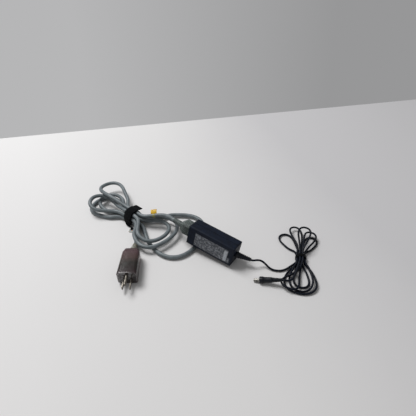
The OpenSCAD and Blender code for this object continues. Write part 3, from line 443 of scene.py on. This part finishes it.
def finish(name, stops, patch_mm, rough, grain_mm=0.0, relief_mm=0.0, uneven=0.0,
           drift=None, **shader):
    """A moulded, rolled or plated finish. stops are its colours from the darkest patch to
    the palest, patch_mm their size; rough is its roughness, uneven how far that varies;
    grain_mm and relief_mm are the size and height of its fine relief; drift is a way
    across the object, where it starts and ends in metres, and its share of the colour."""
    material = bpy.data.materials.new(name)
    material.use_nodes = True
    tree = material.node_tree
    tree.nodes.clear()
    place = add(tree, "ShaderNodeTexCoord").outputs["Object"]
    patches = cloud(tree, place, patch_mm)
    if drift:
        way, start, end, share = drift
        run = add(tree, "ShaderNodeVectorMath", {0: place, 1: tuple(way)},
                  operation="DOT_PRODUCT").outputs["Value"]
        run = add(tree, "ShaderNodeMapRange", {
            "Value": run, "From Min": start, "From Max": end}).outputs["Result"]
        patches = add(tree, "ShaderNodeMix", {0: share, 2: patches, 3: run}).outputs[0]
    inputs = {"Base Color": ramp(tree, patches, stops), "Roughness": rough}
    if uneven:
        inputs["Roughness"] = add(tree, "ShaderNodeMapRange", {
            "Value": cloud(tree, place, patch_mm * 0.4), "From Min": 0.3, "From Max": 0.7,
            "To Min": rough - uneven, "To Max": rough + uneven}).outputs["Result"]
    if grain_mm:
        inputs["Normal"] = add(tree, "ShaderNodeBump", {
            "Height": cloud(tree, place, grain_mm, 3.0), "Distance": relief_mm * MM,
            "Strength": 1.0}).outputs["Normal"]
    inputs.update({key.replace("_", " "): value for key, value in shader.items()})
    surface = add(tree, "ShaderNodeBsdfPrincipled", inputs).outputs["BSDF"]
    add(tree, "ShaderNodeOutputMaterial", {"Surface": surface})
    return material


# ABS shell moulded against a spark-eroded tool: near black with a cold cast, fine grain,
# drawn at 0.5 mm, coarser than real, so that it shows
abs_textured = finish(
    "abs_textured_black", [(0.35, "#070e1c"), (0.7, "#0d1829")], patch_mm=9.0, rough=0.5,
    grain_mm=0.5, relief_mm=0.03, uneven=0.05, Specular_IOR_Level=0.17)
# polyester label film: mid grey, mottled by handling, half matt
label_film = finish(
    "polyester_label_film", [(0.36, "#2f333a"), (0.5, "#50545b"), (0.64, "#7d8188")],
    patch_mm=3.2, rough=0.42, uneven=0.06)
# the label's bare white margin
label_margin = finish(
    "polyester_label_margin", [(0.3, "#8f949b"), (0.7, "#b3b7bc")], patch_mm=3.0, rough=0.42)
# glass-filled nylon of the inlet: black, dull
nylon = finish(
    "nylon_black", [(0.3, "#131316"), (0.7, "#1b1b1f")], patch_mm=4.0, rough=0.55, grain_mm=0.4,
    relief_mm=0.02)
# nickel over brass: pale metal, dulled by handling
nickel = finish(
    "nickel_plated_brass", [(0.35, "#696763"), (0.6, "#a8a6a1")], patch_mm=3.0, rough=0.34,
    uneven=0.08, Metallic=1.0)
# the same on the prongs, rubbed darker by the socket
prong_nickel = finish(
    "nickel_plated_prongs", [(0.35, "#4d4944"), (0.6, "#8c877e")], patch_mm=3.0, rough=0.4,
    uneven=0.08, Metallic=1.0)
# PVC jacket of the mains cord: grey with a green cast, satin, faint handling marks
pvc_grey = finish(
    "pvc_grey_jacket", [(0.3, "#596164"), (0.5, "#666e72"), (0.7, "#737b7f")], patch_mm=11.0,
    rough=0.45, grain_mm=0.8, relief_mm=0.03, uneven=0.06)
# PVC connector moulding: darker grey, scuffed pale in flecks
pvc_moulding = finish(
    "pvc_grey_moulding", [(0.3, "#343b39"), (0.52, "#49514f"), (0.62, "#6a7270")], patch_mm=2.4,
    rough=0.55, grain_mm=0.6, relief_mm=0.04, uneven=0.08)
# PVC jacket of the low-voltage cord: near black, satin
pvc_black = finish(
    "pvc_black_jacket", [(0.3, "#070b14"), (0.7, "#0f1522")], patch_mm=8.0, rough=0.46,
    grain_mm=0.6, relief_mm=0.02, uneven=0.06, Specular_IOR_Level=0.15)
# PVC grip and reliefs: black, a little glossier
pvc_black_moulding = finish(
    "pvc_black_moulding", [(0.3, "#070b12"), (0.7, "#0e131d")], patch_mm=5.0, rough=0.42,
    grain_mm=0.5, relief_mm=0.02, uneven=0.06, Specular_IOR_Level=0.25)
# nylon hook and loop tape: black pile that swallows light; its loops are drawn about a
# millimetre apart, coarser than real
loop_pile = finish(
    "nylon_hook_and_loop", [(0.35, "#020304"), (0.5, "#050608"), (0.68, "#14171c")],
    patch_mm=0.9, rough=0.95, grain_mm=0.6, relief_mm=0.6, Sheen_Weight=0.03,
    Specular_IOR_Level=0.08)
# polypropylene ring: milky
milky = finish(
    "polypropylene_milky", [(0.3, "#a5a7a3"), (0.7, "#c3c5c1")], patch_mm=3.0, rough=0.35,
    Subsurface_Weight=0.2, Subsurface_Scale=0.002)
# yellow polyester tape folded into a flag, orange where it doubles
tape = finish(
    "polyester_tape_yellow", [(0.36, "#9c7608"), (0.5, "#d2a40a"), (0.66, "#e6bf20")],
    patch_mm=2.2, rough=0.45, Specular_IOR_Level=0.3)
# one layer of the same tape round the cord: the grey jacket shows through
thin_tape = finish(
    "polyester_tape_single", [(0.36, "#77784f"), (0.64, "#8b8a5c")], patch_mm=2.2, rough=0.4)
# polycarbonate plug shell: smoky brown, seen through
PLUG_RUN = [float(at @ PLUG_AHEAD) * MM for at in (PLUG_REAR, PLUG_FACE)]
smoky = finish(
    "polycarbonate_smoky", [(0.1, "#4a3436"), (0.28, "#644c50"), (0.42, "#5a4643"),
     (0.6, "#28241e"), (0.78, "#302122"), (0.95, "#463035")], patch_mm=14.0, rough=0.22,
    grain_mm=1.5, relief_mm=0.05, uneven=0.05, drift=(PLUG_AHEAD, *PLUG_RUN, 0.7),
    Transmission_Weight=0.4, IOR=1.5, Specular_IOR_Level=0.35)
# the moulded inner of the plug seen through its shell: dark with a green cast
plug_core_pvc = finish(
    "pvc_dark_inner", [(0.32, "#23221f"), (0.5, "#363930"), (0.68, "#5e5250")], patch_mm=8.0,
    rough=0.5, grain_mm=0.8, relief_mm=0.05)
# the plug's face: smoky and dark
plug_face_pvc = finish(
    "polycarbonate_smoky_face", [(0.3, "#1e1719"), (0.7, "#322a2c")], patch_mm=5.0, rough=0.3,
    uneven=0.05)
# clear flexible PVC relief gone yellow
clear_pvc = finish(
    "pvc_clear_yellowed", [(0.3, "#a9a797"), (0.7, "#c9c6b8")], patch_mm=6.0, rough=0.22,
    uneven=0.05, Transmission_Weight=0.6, IOR=1.45)
# spring brass contacts
brass = finish(
    "spring_brass", [(0.3, "#b08f48"), (0.7, "#cfae66")], patch_mm=3.0, rough=0.32,
    Metallic=1.0)
# epoxy-glass board with green solder mask
laminate = finish(
    "glass_epoxy_laminate", [(0.3, "#274d2c"), (0.7, "#35633b")], patch_mm=6.0, rough=0.4)
# clear insulating film, seen as pale
mylar = finish(
    "polyester_insulation_film", [(0.3, "#cfcbb9"), (0.7, "#e0dccb")], patch_mm=12.0, rough=0.3)
# glass of the fuse: clear with a faint grey
glass_tube = finish(
    "fuse_glass_tube", [(0.3, "#c6cdcf"), (0.7, "#d8dee0")], patch_mm=4.0, rough=0.08,
    Transmission_Weight=0.6, IOR=1.5)
# polyester box of the film capacitor: dull yellow
box_film = finish(
    "film_capacitor_box", [(0.3, "#b8932a"), (0.7, "#ceaa38")], patch_mm=6.0, rough=0.45)
# enamelled copper wire: red brown and glossy, its turns drawn as small bumps
copper = finish(
    "enamelled_copper_wire", [(0.3, "#7c421c"), (0.7, "#9c582c")], patch_mm=1.0, rough=0.35,
    grain_mm=1.0, relief_mm=0.1, Metallic=1.0)
# epoxy of the semiconductors, moulded under heat: black, dull
epoxy = finish(
    "moulded_epoxy", [(0.3, "#151515"), (0.7, "#1f1f1f")], patch_mm=3.0, rough=0.55,
    grain_mm=0.3, relief_mm=0.02)
# vinyl sleeve shrunk over the capacitor cans: dark blue, glossy
sleeve = finish(
    "can_shrink_sleeve", [(0.3, "#1b2035"), (0.7, "#262d46")], patch_mm=8.0, rough=0.3)
# aluminium sheet of the heatsinks, rolled and stamped: pale, satin
bare_sheet = finish(
    "aluminium_sheet", [(0.3, "#a5a8aa"), (0.7, "#bfc1c3")], patch_mm=5.0, rough=0.38,
    uneven=0.08, Metallic=1.0)
# ferrite core, pressed and sintered: dark grey, gritty
ferrite = finish(
    "sintered_ferrite", [(0.3, "#2e2e31"), (0.7, "#404044")], patch_mm=1.5, rough=0.7,
    grain_mm=0.4, relief_mm=0.04)
# polyester tape round the winding: amber, satin
winding_tape = finish(
    "polyester_winding_tape", [(0.3, "#b88d22"), (0.7, "#d0a234")], patch_mm=9.0, rough=0.4)

FINISHES = {
    "shell_label_side": abs_textured, "shell_plain_side": abs_textured,
    "rating_label": label_film, "blank_patch": label_film, "inlet_housing": nylon,
    "inlet_pins": nickel, "circuit_board": laminate, "insulation_sheet": mylar,
    "fuse": glass_tube, "x_capacitor": box_film, "filter_choke": copper,
    "bridge_rectifier": epoxy, "bulk_capacitor": sleeve, "primary_heatsink": bare_sheet,
    "switching_transistor": epoxy, "transformer_core": ferrite,
    "transformer_winding": winding_tape, "secondary_heatsink": bare_sheet,
    "output_rectifier": epoxy, "output_capacitors": sleeve, "output_choke": copper,
    "dc_strain_relief": pvc_black_moulding, "dc_plug_grip": pvc_black_moulding,
    "dc_plug_barrel": nickel, "dc_plug_insulator": nylon, "dc_plug_contact": brass,
    "connector_body": pvc_moulding, "connector_contacts": brass,
    "connector_strain_relief": pvc_moulding, "strap_ring": milky, "yellow_tag": tape,
    "plug_strain_relief": clear_pvc, "plug_body": smoky, "plug_face": plug_face_pvc,
    "plug_blades": prong_nickel, "plug_earth_pin": prong_nickel, "cord_strap": loop_pile,
    "dc_tie": loop_pile, "mains_cord_lead": pvc_grey, "mains_cord_hank": pvc_grey,
    "mains_cord_tail": pvc_grey, "dc_cord_lead": pvc_black, "dc_cord_hank": pvc_black,
    "dc_cord_tail": pvc_black,
}
for node, material in FINISHES.items():
    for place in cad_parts[node].material_slots:
        place.material = material


def dressed(obj, material, slot, *nodes):
    """Gives a new piece its finish and hides the nodes that it stands for; slot is not used."""
    obj.data.materials.append(material)
    if nodes:
        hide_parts(*nodes)
    return obj


# ---------------------------------------------------------------- cords
mains_cord = dressed(piece("mains_cord", *skin(tube_rows(mains_line, MAINS_D / 2, 24)),
                           "mains_lead"),
                     pvc_grey, "grey_jacket",
                     "mains_cord_lead", "mains_cord_hank", "mains_cord_tail")
dc_cord = dressed(piece("low_voltage_cord", *skin(tube_rows(dc_line, DC_D / 2, 16)),
                        "brick"),
                  pvc_black, "black_jacket",
                  "dc_cord_lead", "dc_cord_hank", "dc_cord_tail")

# ---------------------------------------------------------------- reliefs
RELIEF_STEP = 0.15


def relief(name, points, length, radii, ribs, depth, root, body, shoulder=0.0):
    """A ribbed relief: a tube along the curve through the points, from its root to its
    tip, with the radius of rib_radius and, where asked, a rounded shoulder at its root."""
    line = even(bowed(points), RELIEF_STEP)
    s = np.linspace(0, length, len(line))
    radius = rib_radius(s, length, *radii, ribs, depth, root)
    if shoulder:
        radius = radius - rounded(s, shoulder, shoulder)
    return piece(name, *skin(tube_rows(line, radius, sides=36)), body, crease=50)


mains_relief = dressed(
    relief("connector_relief", [MAINS_ROOT - 3 * CONNECTOR_AHEAD, MAINS_ROOT,
                                MAINS_ROOT + 0.5 * MAINS_RELIEF_L * MAINS_AHEAD, MAINS_TIP],
           MAINS_RELIEF_L + 3, (5.75, 4.9), ribs=6, depth=0.55, root=3.0,
           body="mains_lead"),
    pvc_moulding, "grey_moulding", "connector_strain_relief")

# low-voltage relief: a round collar on the brick, then ribs down to the cord
DC_RELIEF_D, DC_TIP_D = 11.0, 6.6
BRICK_AHEAD = placed([1, 0, 0]) - placed([0, 0, 0])
dc_relief = dressed(
    relief("cord_end_relief", [DC_ROOT - (DC_COLLAR_L - 0.15) * BRICK_AHEAD, DC_ROOT,
                               DC_ROOT + 0.5 * DC_RELIEF_L * DC_AHEAD, DC_TIP],
           DC_RELIEF_L + DC_COLLAR_L, (DC_RELIEF_D / 2, DC_TIP_D / 2), ribs=7, depth=0.7,
           root=5.6, body="brick", shoulder=0.7),
    pvc_black_moulding, "black_jacket", "dc_strain_relief")

# the clear relief reaches this far into the plug
PLUG_RELIEF_IN = 3.5
plug_relief = dressed(
    relief("plug_relief", [PLUG_REAR + PLUG_RELIEF_IN * PLUG_AHEAD, PLUG_REAR - 1 * PLUG_AHEAD,
                           PLUG_REAR - 0.5 * PLUG_RELIEF_L * PLUG_RELIEF_AHEAD - [0, 0, 0.5],
                           PLUG_TIP],
           PLUG_RELIEF_L + PLUG_RELIEF_IN, (6.5, 4.8), ribs=7, depth=0.6, root=4.0,
           body="mains_lead"),
    clear_pvc, "clear_relief", "plug_strain_relief")

# ---------------------------------------------------------------- straps
STRAP_R = MAINS_D / 2 + STRAP_GAP


def band(name, seats, radius, tie, wide, thick, corner, steps, body):
    """A closed band round a bundle of cords: a strip along the bundle's tight outline,
    worked out at so many steps of angle."""
    outline = seat_line(seats, radius, np.linspace(0, 360, steps, endpoint=False))
    rows = strip_rows(*in_tie(*outline, tie), wide, thick, corner)
    return piece(name, rows.reshape(-1, 3), grid_faces(*rows.shape[:2], close_rows=True), body)


strap = dressed(band("strap_band", MAINS_SEATS, STRAP_R, MAINS_TIE, STRAP_W, STRAP_T,
                     corner=0.7, steps=300, body="mains_lead"),
                loop_pile, "hook_strap", "cord_strap")

# free end: laps over the top of the band and stands off it at the back
# degrees round the band where it starts and leaves, length beyond, turn, sideways drift
FLAP_FROM, FLAP_LEAVES, FLAP_L, FLAP_TURN, FLAP_SKEW = 168.0, 64.0, 12.0, 34.0, 1.5
lap, out = seat_line(MAINS_SEATS, STRAP_R + STRAP_T + 0.05,
                     np.linspace(FLAP_FROM, FLAP_LEAVES, 60))
t = np.linspace(0.04, 1, 24)[:, None]
turn = np.radians(FLAP_LEAVES - 90 + FLAP_TURN * t ** 1.5)
step = np.diff(t, axis=0, prepend=0) * FLAP_L
free = lap[-1] + np.cumsum(step * np.hstack([np.cos(turn), np.sin(turn)]), axis=0)
free_out = np.hstack([-np.sin(turn), np.cos(turn)])
points, sides, normals = in_tie(np.vstack([lap, free]), np.vstack([out, free_out]),
                                MAINS_TIE)
skew = np.r_[np.zeros(len(lap)), FLAP_SKEW * t[:, 0] ** 1.3]
points = points + skew[:, None] * sides
flap = dressed(piece("strap_end", *skin(strip_rows(points, sides, normals,
                                                   STRAP_W - 0.6, STRAP_T)), "mains_lead"),
               loop_pile, "hook_strap")

# foot: narrows from the front of the band to the ring and folds through its slot
RING_AT, RING_TURN = np.array([-169.0, -39.0]), np.radians(25.0)
FOOT_T = 1.3
# its width along its length
FOOT_WIDTHS = ([0, 0.3, 0.5, 0.7, 1], [19.4, 16.0, 10.0, 5.6, 5.2])
ring_up = np.array([-np.sin(RING_TURN), np.cos(RING_TURN)])
front = -(MAINS_STEP + STRAP_R + STRAP_T)
foot_at = np.array([
    [*on_tie(0.0, front - 0.1, MAINS_TIE), 15.0], [*on_tie(0.6, front - 0.4, MAINS_TIE), 9.5],
    [*on_tie(2.4, front - 1.4, MAINS_TIE), 5.2], [*on_tie(6.0, front - 4.0, MAINS_TIE), 2.8],
    [*(RING_AT + 5.6 * ring_up), 2.5], [*(RING_AT + 3.4 * ring_up), 2.5],
    [*(RING_AT + 1.2 * ring_up), 1.0]])
foot_line = bowed(foot_at, 8)
foot_w = np.interp(np.linspace(0, 1, len(foot_line)), *FOOT_WIDTHS)
foot_side = unit(np.linspace(on_tie(1.0, 0.0, MAINS_TIE) - np.array(MAINS_TIE[0]),
                             [np.cos(RING_TURN), np.sin(RING_TURN)], len(foot_line)))
foot_side = np.column_stack([foot_side, np.zeros(len(foot_line))])
foot_out = unit(np.cross(foot_side, np.gradient(foot_line, axis=0)))
foot_out = foot_out * np.sign(foot_out[:, 2:] + 1e-9)
foot = dressed(piece("strap_foot", *skin(strip_rows(foot_line, foot_side, foot_out,
                                                    foot_w, FOOT_T)), "mains_lead"),
               loop_pile, "hook_strap")

# tie round the low-voltage hank
dc_band = dressed(band("cord_tie", DC_SEATS, DC_D / 2 + 0.2, DC_TIE, DC_TIE_W, DC_TIE_T,
                       corner=0.4, steps=240, body="brick"),
                  loop_pile, "hook_strap", "dc_tie")

# ---------------------------------------------------------------- plug
# shell: a box that swells over its shoulder and then widens a little to the face
SHOULDER_L, SHELL_EDGE = 9.0, 0.9
s = np.r_[0, 0.2, 0.5, 0.9, np.linspace(1.8, SHOULDER_L, 12), np.linspace(10.5, 57, 30),
          58, 59, 59.6, PLUG_L]
grown = np.clip(s / SHOULDER_L, 0, 1)
bulge = ease(grown) * 0.35 + grown * 0.65
full = np.clip((s - SHOULDER_L) / (PLUG_L - SHOULDER_L), 0, 1)
edge = rounded(s, SHELL_EDGE, SHELL_EDGE) + rounded(PLUG_L - s, SHELL_EDGE, SHELL_EDGE)
shell_rows = rounded_box_rows(s, (PLUG_T - 7 + 6 * bulge + full) / 2 - edge,
                              (PLUG_W - 8 + 5 * bulge + 3 * full) / 2 - edge,
                              5 + 2 * bulge - 2 * full, PLUG_REAR, PLUG_AHEAD)
plug_shell = dressed(piece("plug_shell", *skin(shell_rows), "mains_lead", crease=40), smoky,
                     "smoky_plastic", "plug_body")
# inner moulding: slim at the relief, wider towards the prongs
CORE_FROM, CORE_TO, CORE_EDGE, CORE_R = 4.0, 52.6, 1.2, 3.0
s = np.r_[CORE_FROM, 4.4, 5.2, np.linspace(7, 50, 24), 51.4, 52.2, CORE_TO]
edge = rounded(s - CORE_FROM, CORE_EDGE, CORE_EDGE) + rounded(CORE_TO - s, CORE_EDGE, CORE_EDGE)
waist = ease((s - 20) / 12)
core_rows = rounded_box_rows(s, 6.5 + 2.5 * waist - edge, 7.0 + 3.0 * waist - edge, CORE_R,
                             PLUG_REAR, PLUG_AHEAD, sides=32)
plug_core = dressed(piece("plug_inner", *skin(core_rows), "mains_lead", crease=40),
                    plug_core_pvc, "smoky_plastic")

# ---------------------------------------------------------------- barrel plug's grip
# distance from its rear and radius: a soft rear rim, six ribs, a neck and the collar
GRIP_PROFILE = [(0, 2.8), (0.5, 3.1)] + [
    (1.0 + 2.3 * n + d, 3.15 + 0.2 * n + h) for n in range(6)
    for d, h in ((0.0, 0.0), (1.15, 0.1), (1.35, -0.5), (2.05, -0.4))] + [
    (15.0, 4.3), (15.6, 4.6), (18, 4.9), (24, 4.8), (29, 5.0), (30.2, 5.4), (30.8, 5.75),
    (31.5, 5.9), (36.2, 5.9), (36.8, 5.7), (37.0, 5.3)]
grip = dressed(piece("barrel_plug_grip", *skin(turned(GRIP_REAR, GRIP_AHEAD, GRIP_PROFILE)),
                     "brick", crease=50),
               pvc_black_moulding, "black_jacket", "dc_plug_grip")

# ---------------------------------------------------------------- tag on the mains lead
TAG_AT, TAG_AHEAD = np.array([-136.5, -0.2, 27.4]), degrees_heading(211, -10)
TAG_WRAP_L, TAG_PROUD, TAG_RIM = 5.0, 0.35, 0.15
TAG_LEAN = unit(np.array([-0.47, 0.55, 0.68]))
TAG_FLAG_L, TAG_FLAG_W, TAG_FLAG_T, TAG_CURL = 9.0, 12.0, 0.7, 3.4
# one turn round the cord, thinner at its two rims
t = np.linspace(0, 1, 14)
wrap_line = TAG_AT + TAG_WRAP_L * t[:, None] * TAG_AHEAD
wrap_r = MAINS_D / 2 + TAG_PROUD - TAG_RIM * (np.abs(2 * t - 1) > 0.95)
tag_wrap = dressed(piece("tag_wrap", *skin(tube_rows(wrap_line, wrap_r, sides=28)),
                         "mains_lead"), thin_tape, "yellow_film", "yellow_tag")
# the flag: straight out along its lean, curling by the square of the distance
t = np.linspace(0, 1, 16)[:, None]
flag_side = np.tile(TAG_AHEAD, (16, 1))
flag_out = unit(np.cross(TAG_AHEAD, TAG_LEAN))
flag_line = (TAG_AT + 3.0 * TAG_AHEAD + (MAINS_D / 2 + 0.2 + TAG_FLAG_L * t) * TAG_LEAN
             + TAG_CURL * t ** 2 * flag_out)
tag_flag = dressed(piece("tag_flag", *skin(strip_rows(
    flag_line, flag_side, np.tile(flag_out, (16, 1)), TAG_FLAG_W, TAG_FLAG_T, 0.3)),
    "mains_lead"), tape, "yellow_film")


# ---------------------------------------------------------------- small plates on the brick
def brick_plate(name, x, y, z, length, thick, width, body, material, slot, edge=0.25):
    """A flat plate in the brick's own frame, centred at x, y, z: a rounded rectangle
    length by width, thick along the brick's Y, its rim rounded in three steps."""
    a = 2 * np.pi * (np.arange(32) + 0.5) / 32
    r = min(1.0, width / 2, length / 2)
    u = np.sign(np.cos(a)) * (length / 2 - r) + r * np.cos(a)
    v = np.sign(np.sin(a)) * (width / 2 - r) + r * np.sin(a)
    rim = min(edge, thick / 2)
    rows = [np.column_stack([x + u * (1 - pull / length), np.full(32, y + at),
                             z + v * (1 - pull / width)])
            for at, pull in ((-thick / 2, 2 * rim), (-thick / 2 + 0.3 * rim, 0.6 * rim),
                             (-thick / 2 + rim, 0), (thick / 2 - rim, 0),
                             (thick / 2 - 0.3 * rim, 0.6 * rim), (thick / 2, 2 * rim))]
    return dressed(piece(name, *skin(placed(np.array(rows))), body), material, slot)


# the label's bare margin lies inside its right end
LABEL_X, LABEL_L, LABEL_W, LABEL_Z = 3.5, 69.0, 26.0, -1.5
MARGIN_L, MARGIN_T, MARGIN_W = 6.4, 0.06, LABEL_W - 3.4
MARGIN_IN, MARGIN_LOW = 4.2, 0.6
brick_plate("label_margin", LABEL_X + LABEL_L / 2 - MARGIN_IN, -BRICK_T / 2 - 0.01,
            LABEL_Z - MARGIN_LOW, MARGIN_L, MARGIN_T, MARGIN_W, "brick", label_margin,
            "label_film", 0.02)
# grip ribs across both broad sides of the connector
RIBS, RIB_IN, RIB_STEP, RIB_L, RIB_T, RIB_W = 5, 3.2, 2.2, 1.1, 0.7, 17.0
for side, word in ((-1, "front"), (1, "rear")):
    for n in range(RIBS):
        brick_plate("connector_rib_%s_%d" % (word, n + 1), GRIP_FRONT - RIB_IN - RIB_STEP * n,
                    side * (GRIP_T / 2 + 0.15), 0, RIB_L, RIB_T, RIB_W, "mains_lead",
                    pvc_moulding, "grey_moulding")

# ---------------------------------------------------------------- floor and light
# a table top that ends on a line behind the part, pale grey beyond it
EDGE_A, EDGE_B = np.array([-570.0, 228.0]) * MM, np.array([-28.0, 762.0]) * MM
edge_way = unit(EDGE_B - EDGE_A)
front_way = np.array([edge_way[1], -edge_way[0]])
edge_mid = (EDGE_A + EDGE_B) / 2
FLOOR_HALF_W, FLOOR_DEPTH = 4, 6
corners = [edge_mid + a * edge_way + b * front_way
           for a, b in ((-FLOOR_HALF_W, 0), (-FLOOR_HALF_W, FLOOR_DEPTH),
                        (FLOOR_HALF_W, FLOOR_DEPTH), (FLOOR_HALF_W, 0))]
mesh = bpy.data.meshes.new("floor")
mesh.from_pydata([(*c, 0.0) for c in corners], [], [(0, 1, 2, 3)])
floor = bpy.data.objects.new("floor", mesh)
bpy.context.scene.collection.objects.link(floor)
# matt board: warm white, with painted shade that greys it towards the back right, where the
# lamp's light falls off
board = finish(
    "matt_white_board", [(0.1, "#e3e2e2"), (0.5, "#dcdbdb"), (0.9, "#c9c8ca")], patch_mm=300.0,
    rough=0.9, drift=((0.62, 0.78, 0.0), -0.35, 0.35, 0.85), Specular_IOR_Level=0.1)
floor.data.materials.append(board)


def lamp(name, size, power, at, aim):
    """A square soft light at a point, looking at another."""
    data = bpy.data.lights.new(name, "AREA")
    data.shape, data.size, data.energy = "SQUARE", size, power
    obj = bpy.data.objects.new(name, data)
    bpy.context.scene.collection.objects.link(obj)
    obj.location = at
    obj.rotation_euler = (Vector(aim) - Vector(at)).to_track_quat("-Z", "Y").to_euler()
    return obj


# size in metres, watts, place, aim
lamp("key", 1.25, 66.0, (-1.55, 0.13, 2.43), (0, 0, 0))
world = bpy.data.worlds.new("studio")
bpy.context.scene.world = world
world.use_nodes = True
tree = world.node_tree
tree.nodes.clear()
light = add(tree, "ShaderNodeBackground", {"Color": (1.0, 1.0, 1.0, 1.0), "Strength": 0.29})
# a wall seen straight, in gloss and through clear pieces, with painted shade that darkens it
# towards the right of the part, where the light falls off; every other ray gets the plain
# studio light
heading = add(tree, "ShaderNodeTexCoord").outputs["Generated"]
heading = add(tree, "ShaderNodeVectorMath", {0: heading, 1: (0.84, 0.54, 0.0)},
              operation="DOT_PRODUCT").outputs["Value"]
heading = add(tree, "ShaderNodeMapRange", {"Value": heading, "From Min": -0.32,
                                           "From Max": 0.32}).outputs["Result"]
wall = add(tree, "ShaderNodeBackground", {
    "Color": ramp(tree, heading, [(0.0, "#b6b6b7"), (1.0, "#979798")]), "Strength": 1.0})
ray = add(tree, "ShaderNodeLightPath").outputs
seen = ray["Is Camera Ray"]
for kind in ("Is Glossy Ray", "Is Transmission Ray"):
    seen = add(tree, "ShaderNodeMath", {0: seen, 1: ray[kind]},
               operation="MAXIMUM").outputs["Value"]
both = add(tree, "ShaderNodeMixShader", {"Fac": seen})
tree.links.new(light.outputs["Background"], both.inputs[1])
tree.links.new(wall.outputs["Background"], both.inputs[2])
add(tree, "ShaderNodeOutputWorld", {"Surface": both.outputs["Shader"]})
bpy.context.scene.view_settings.view_transform = "Standard"
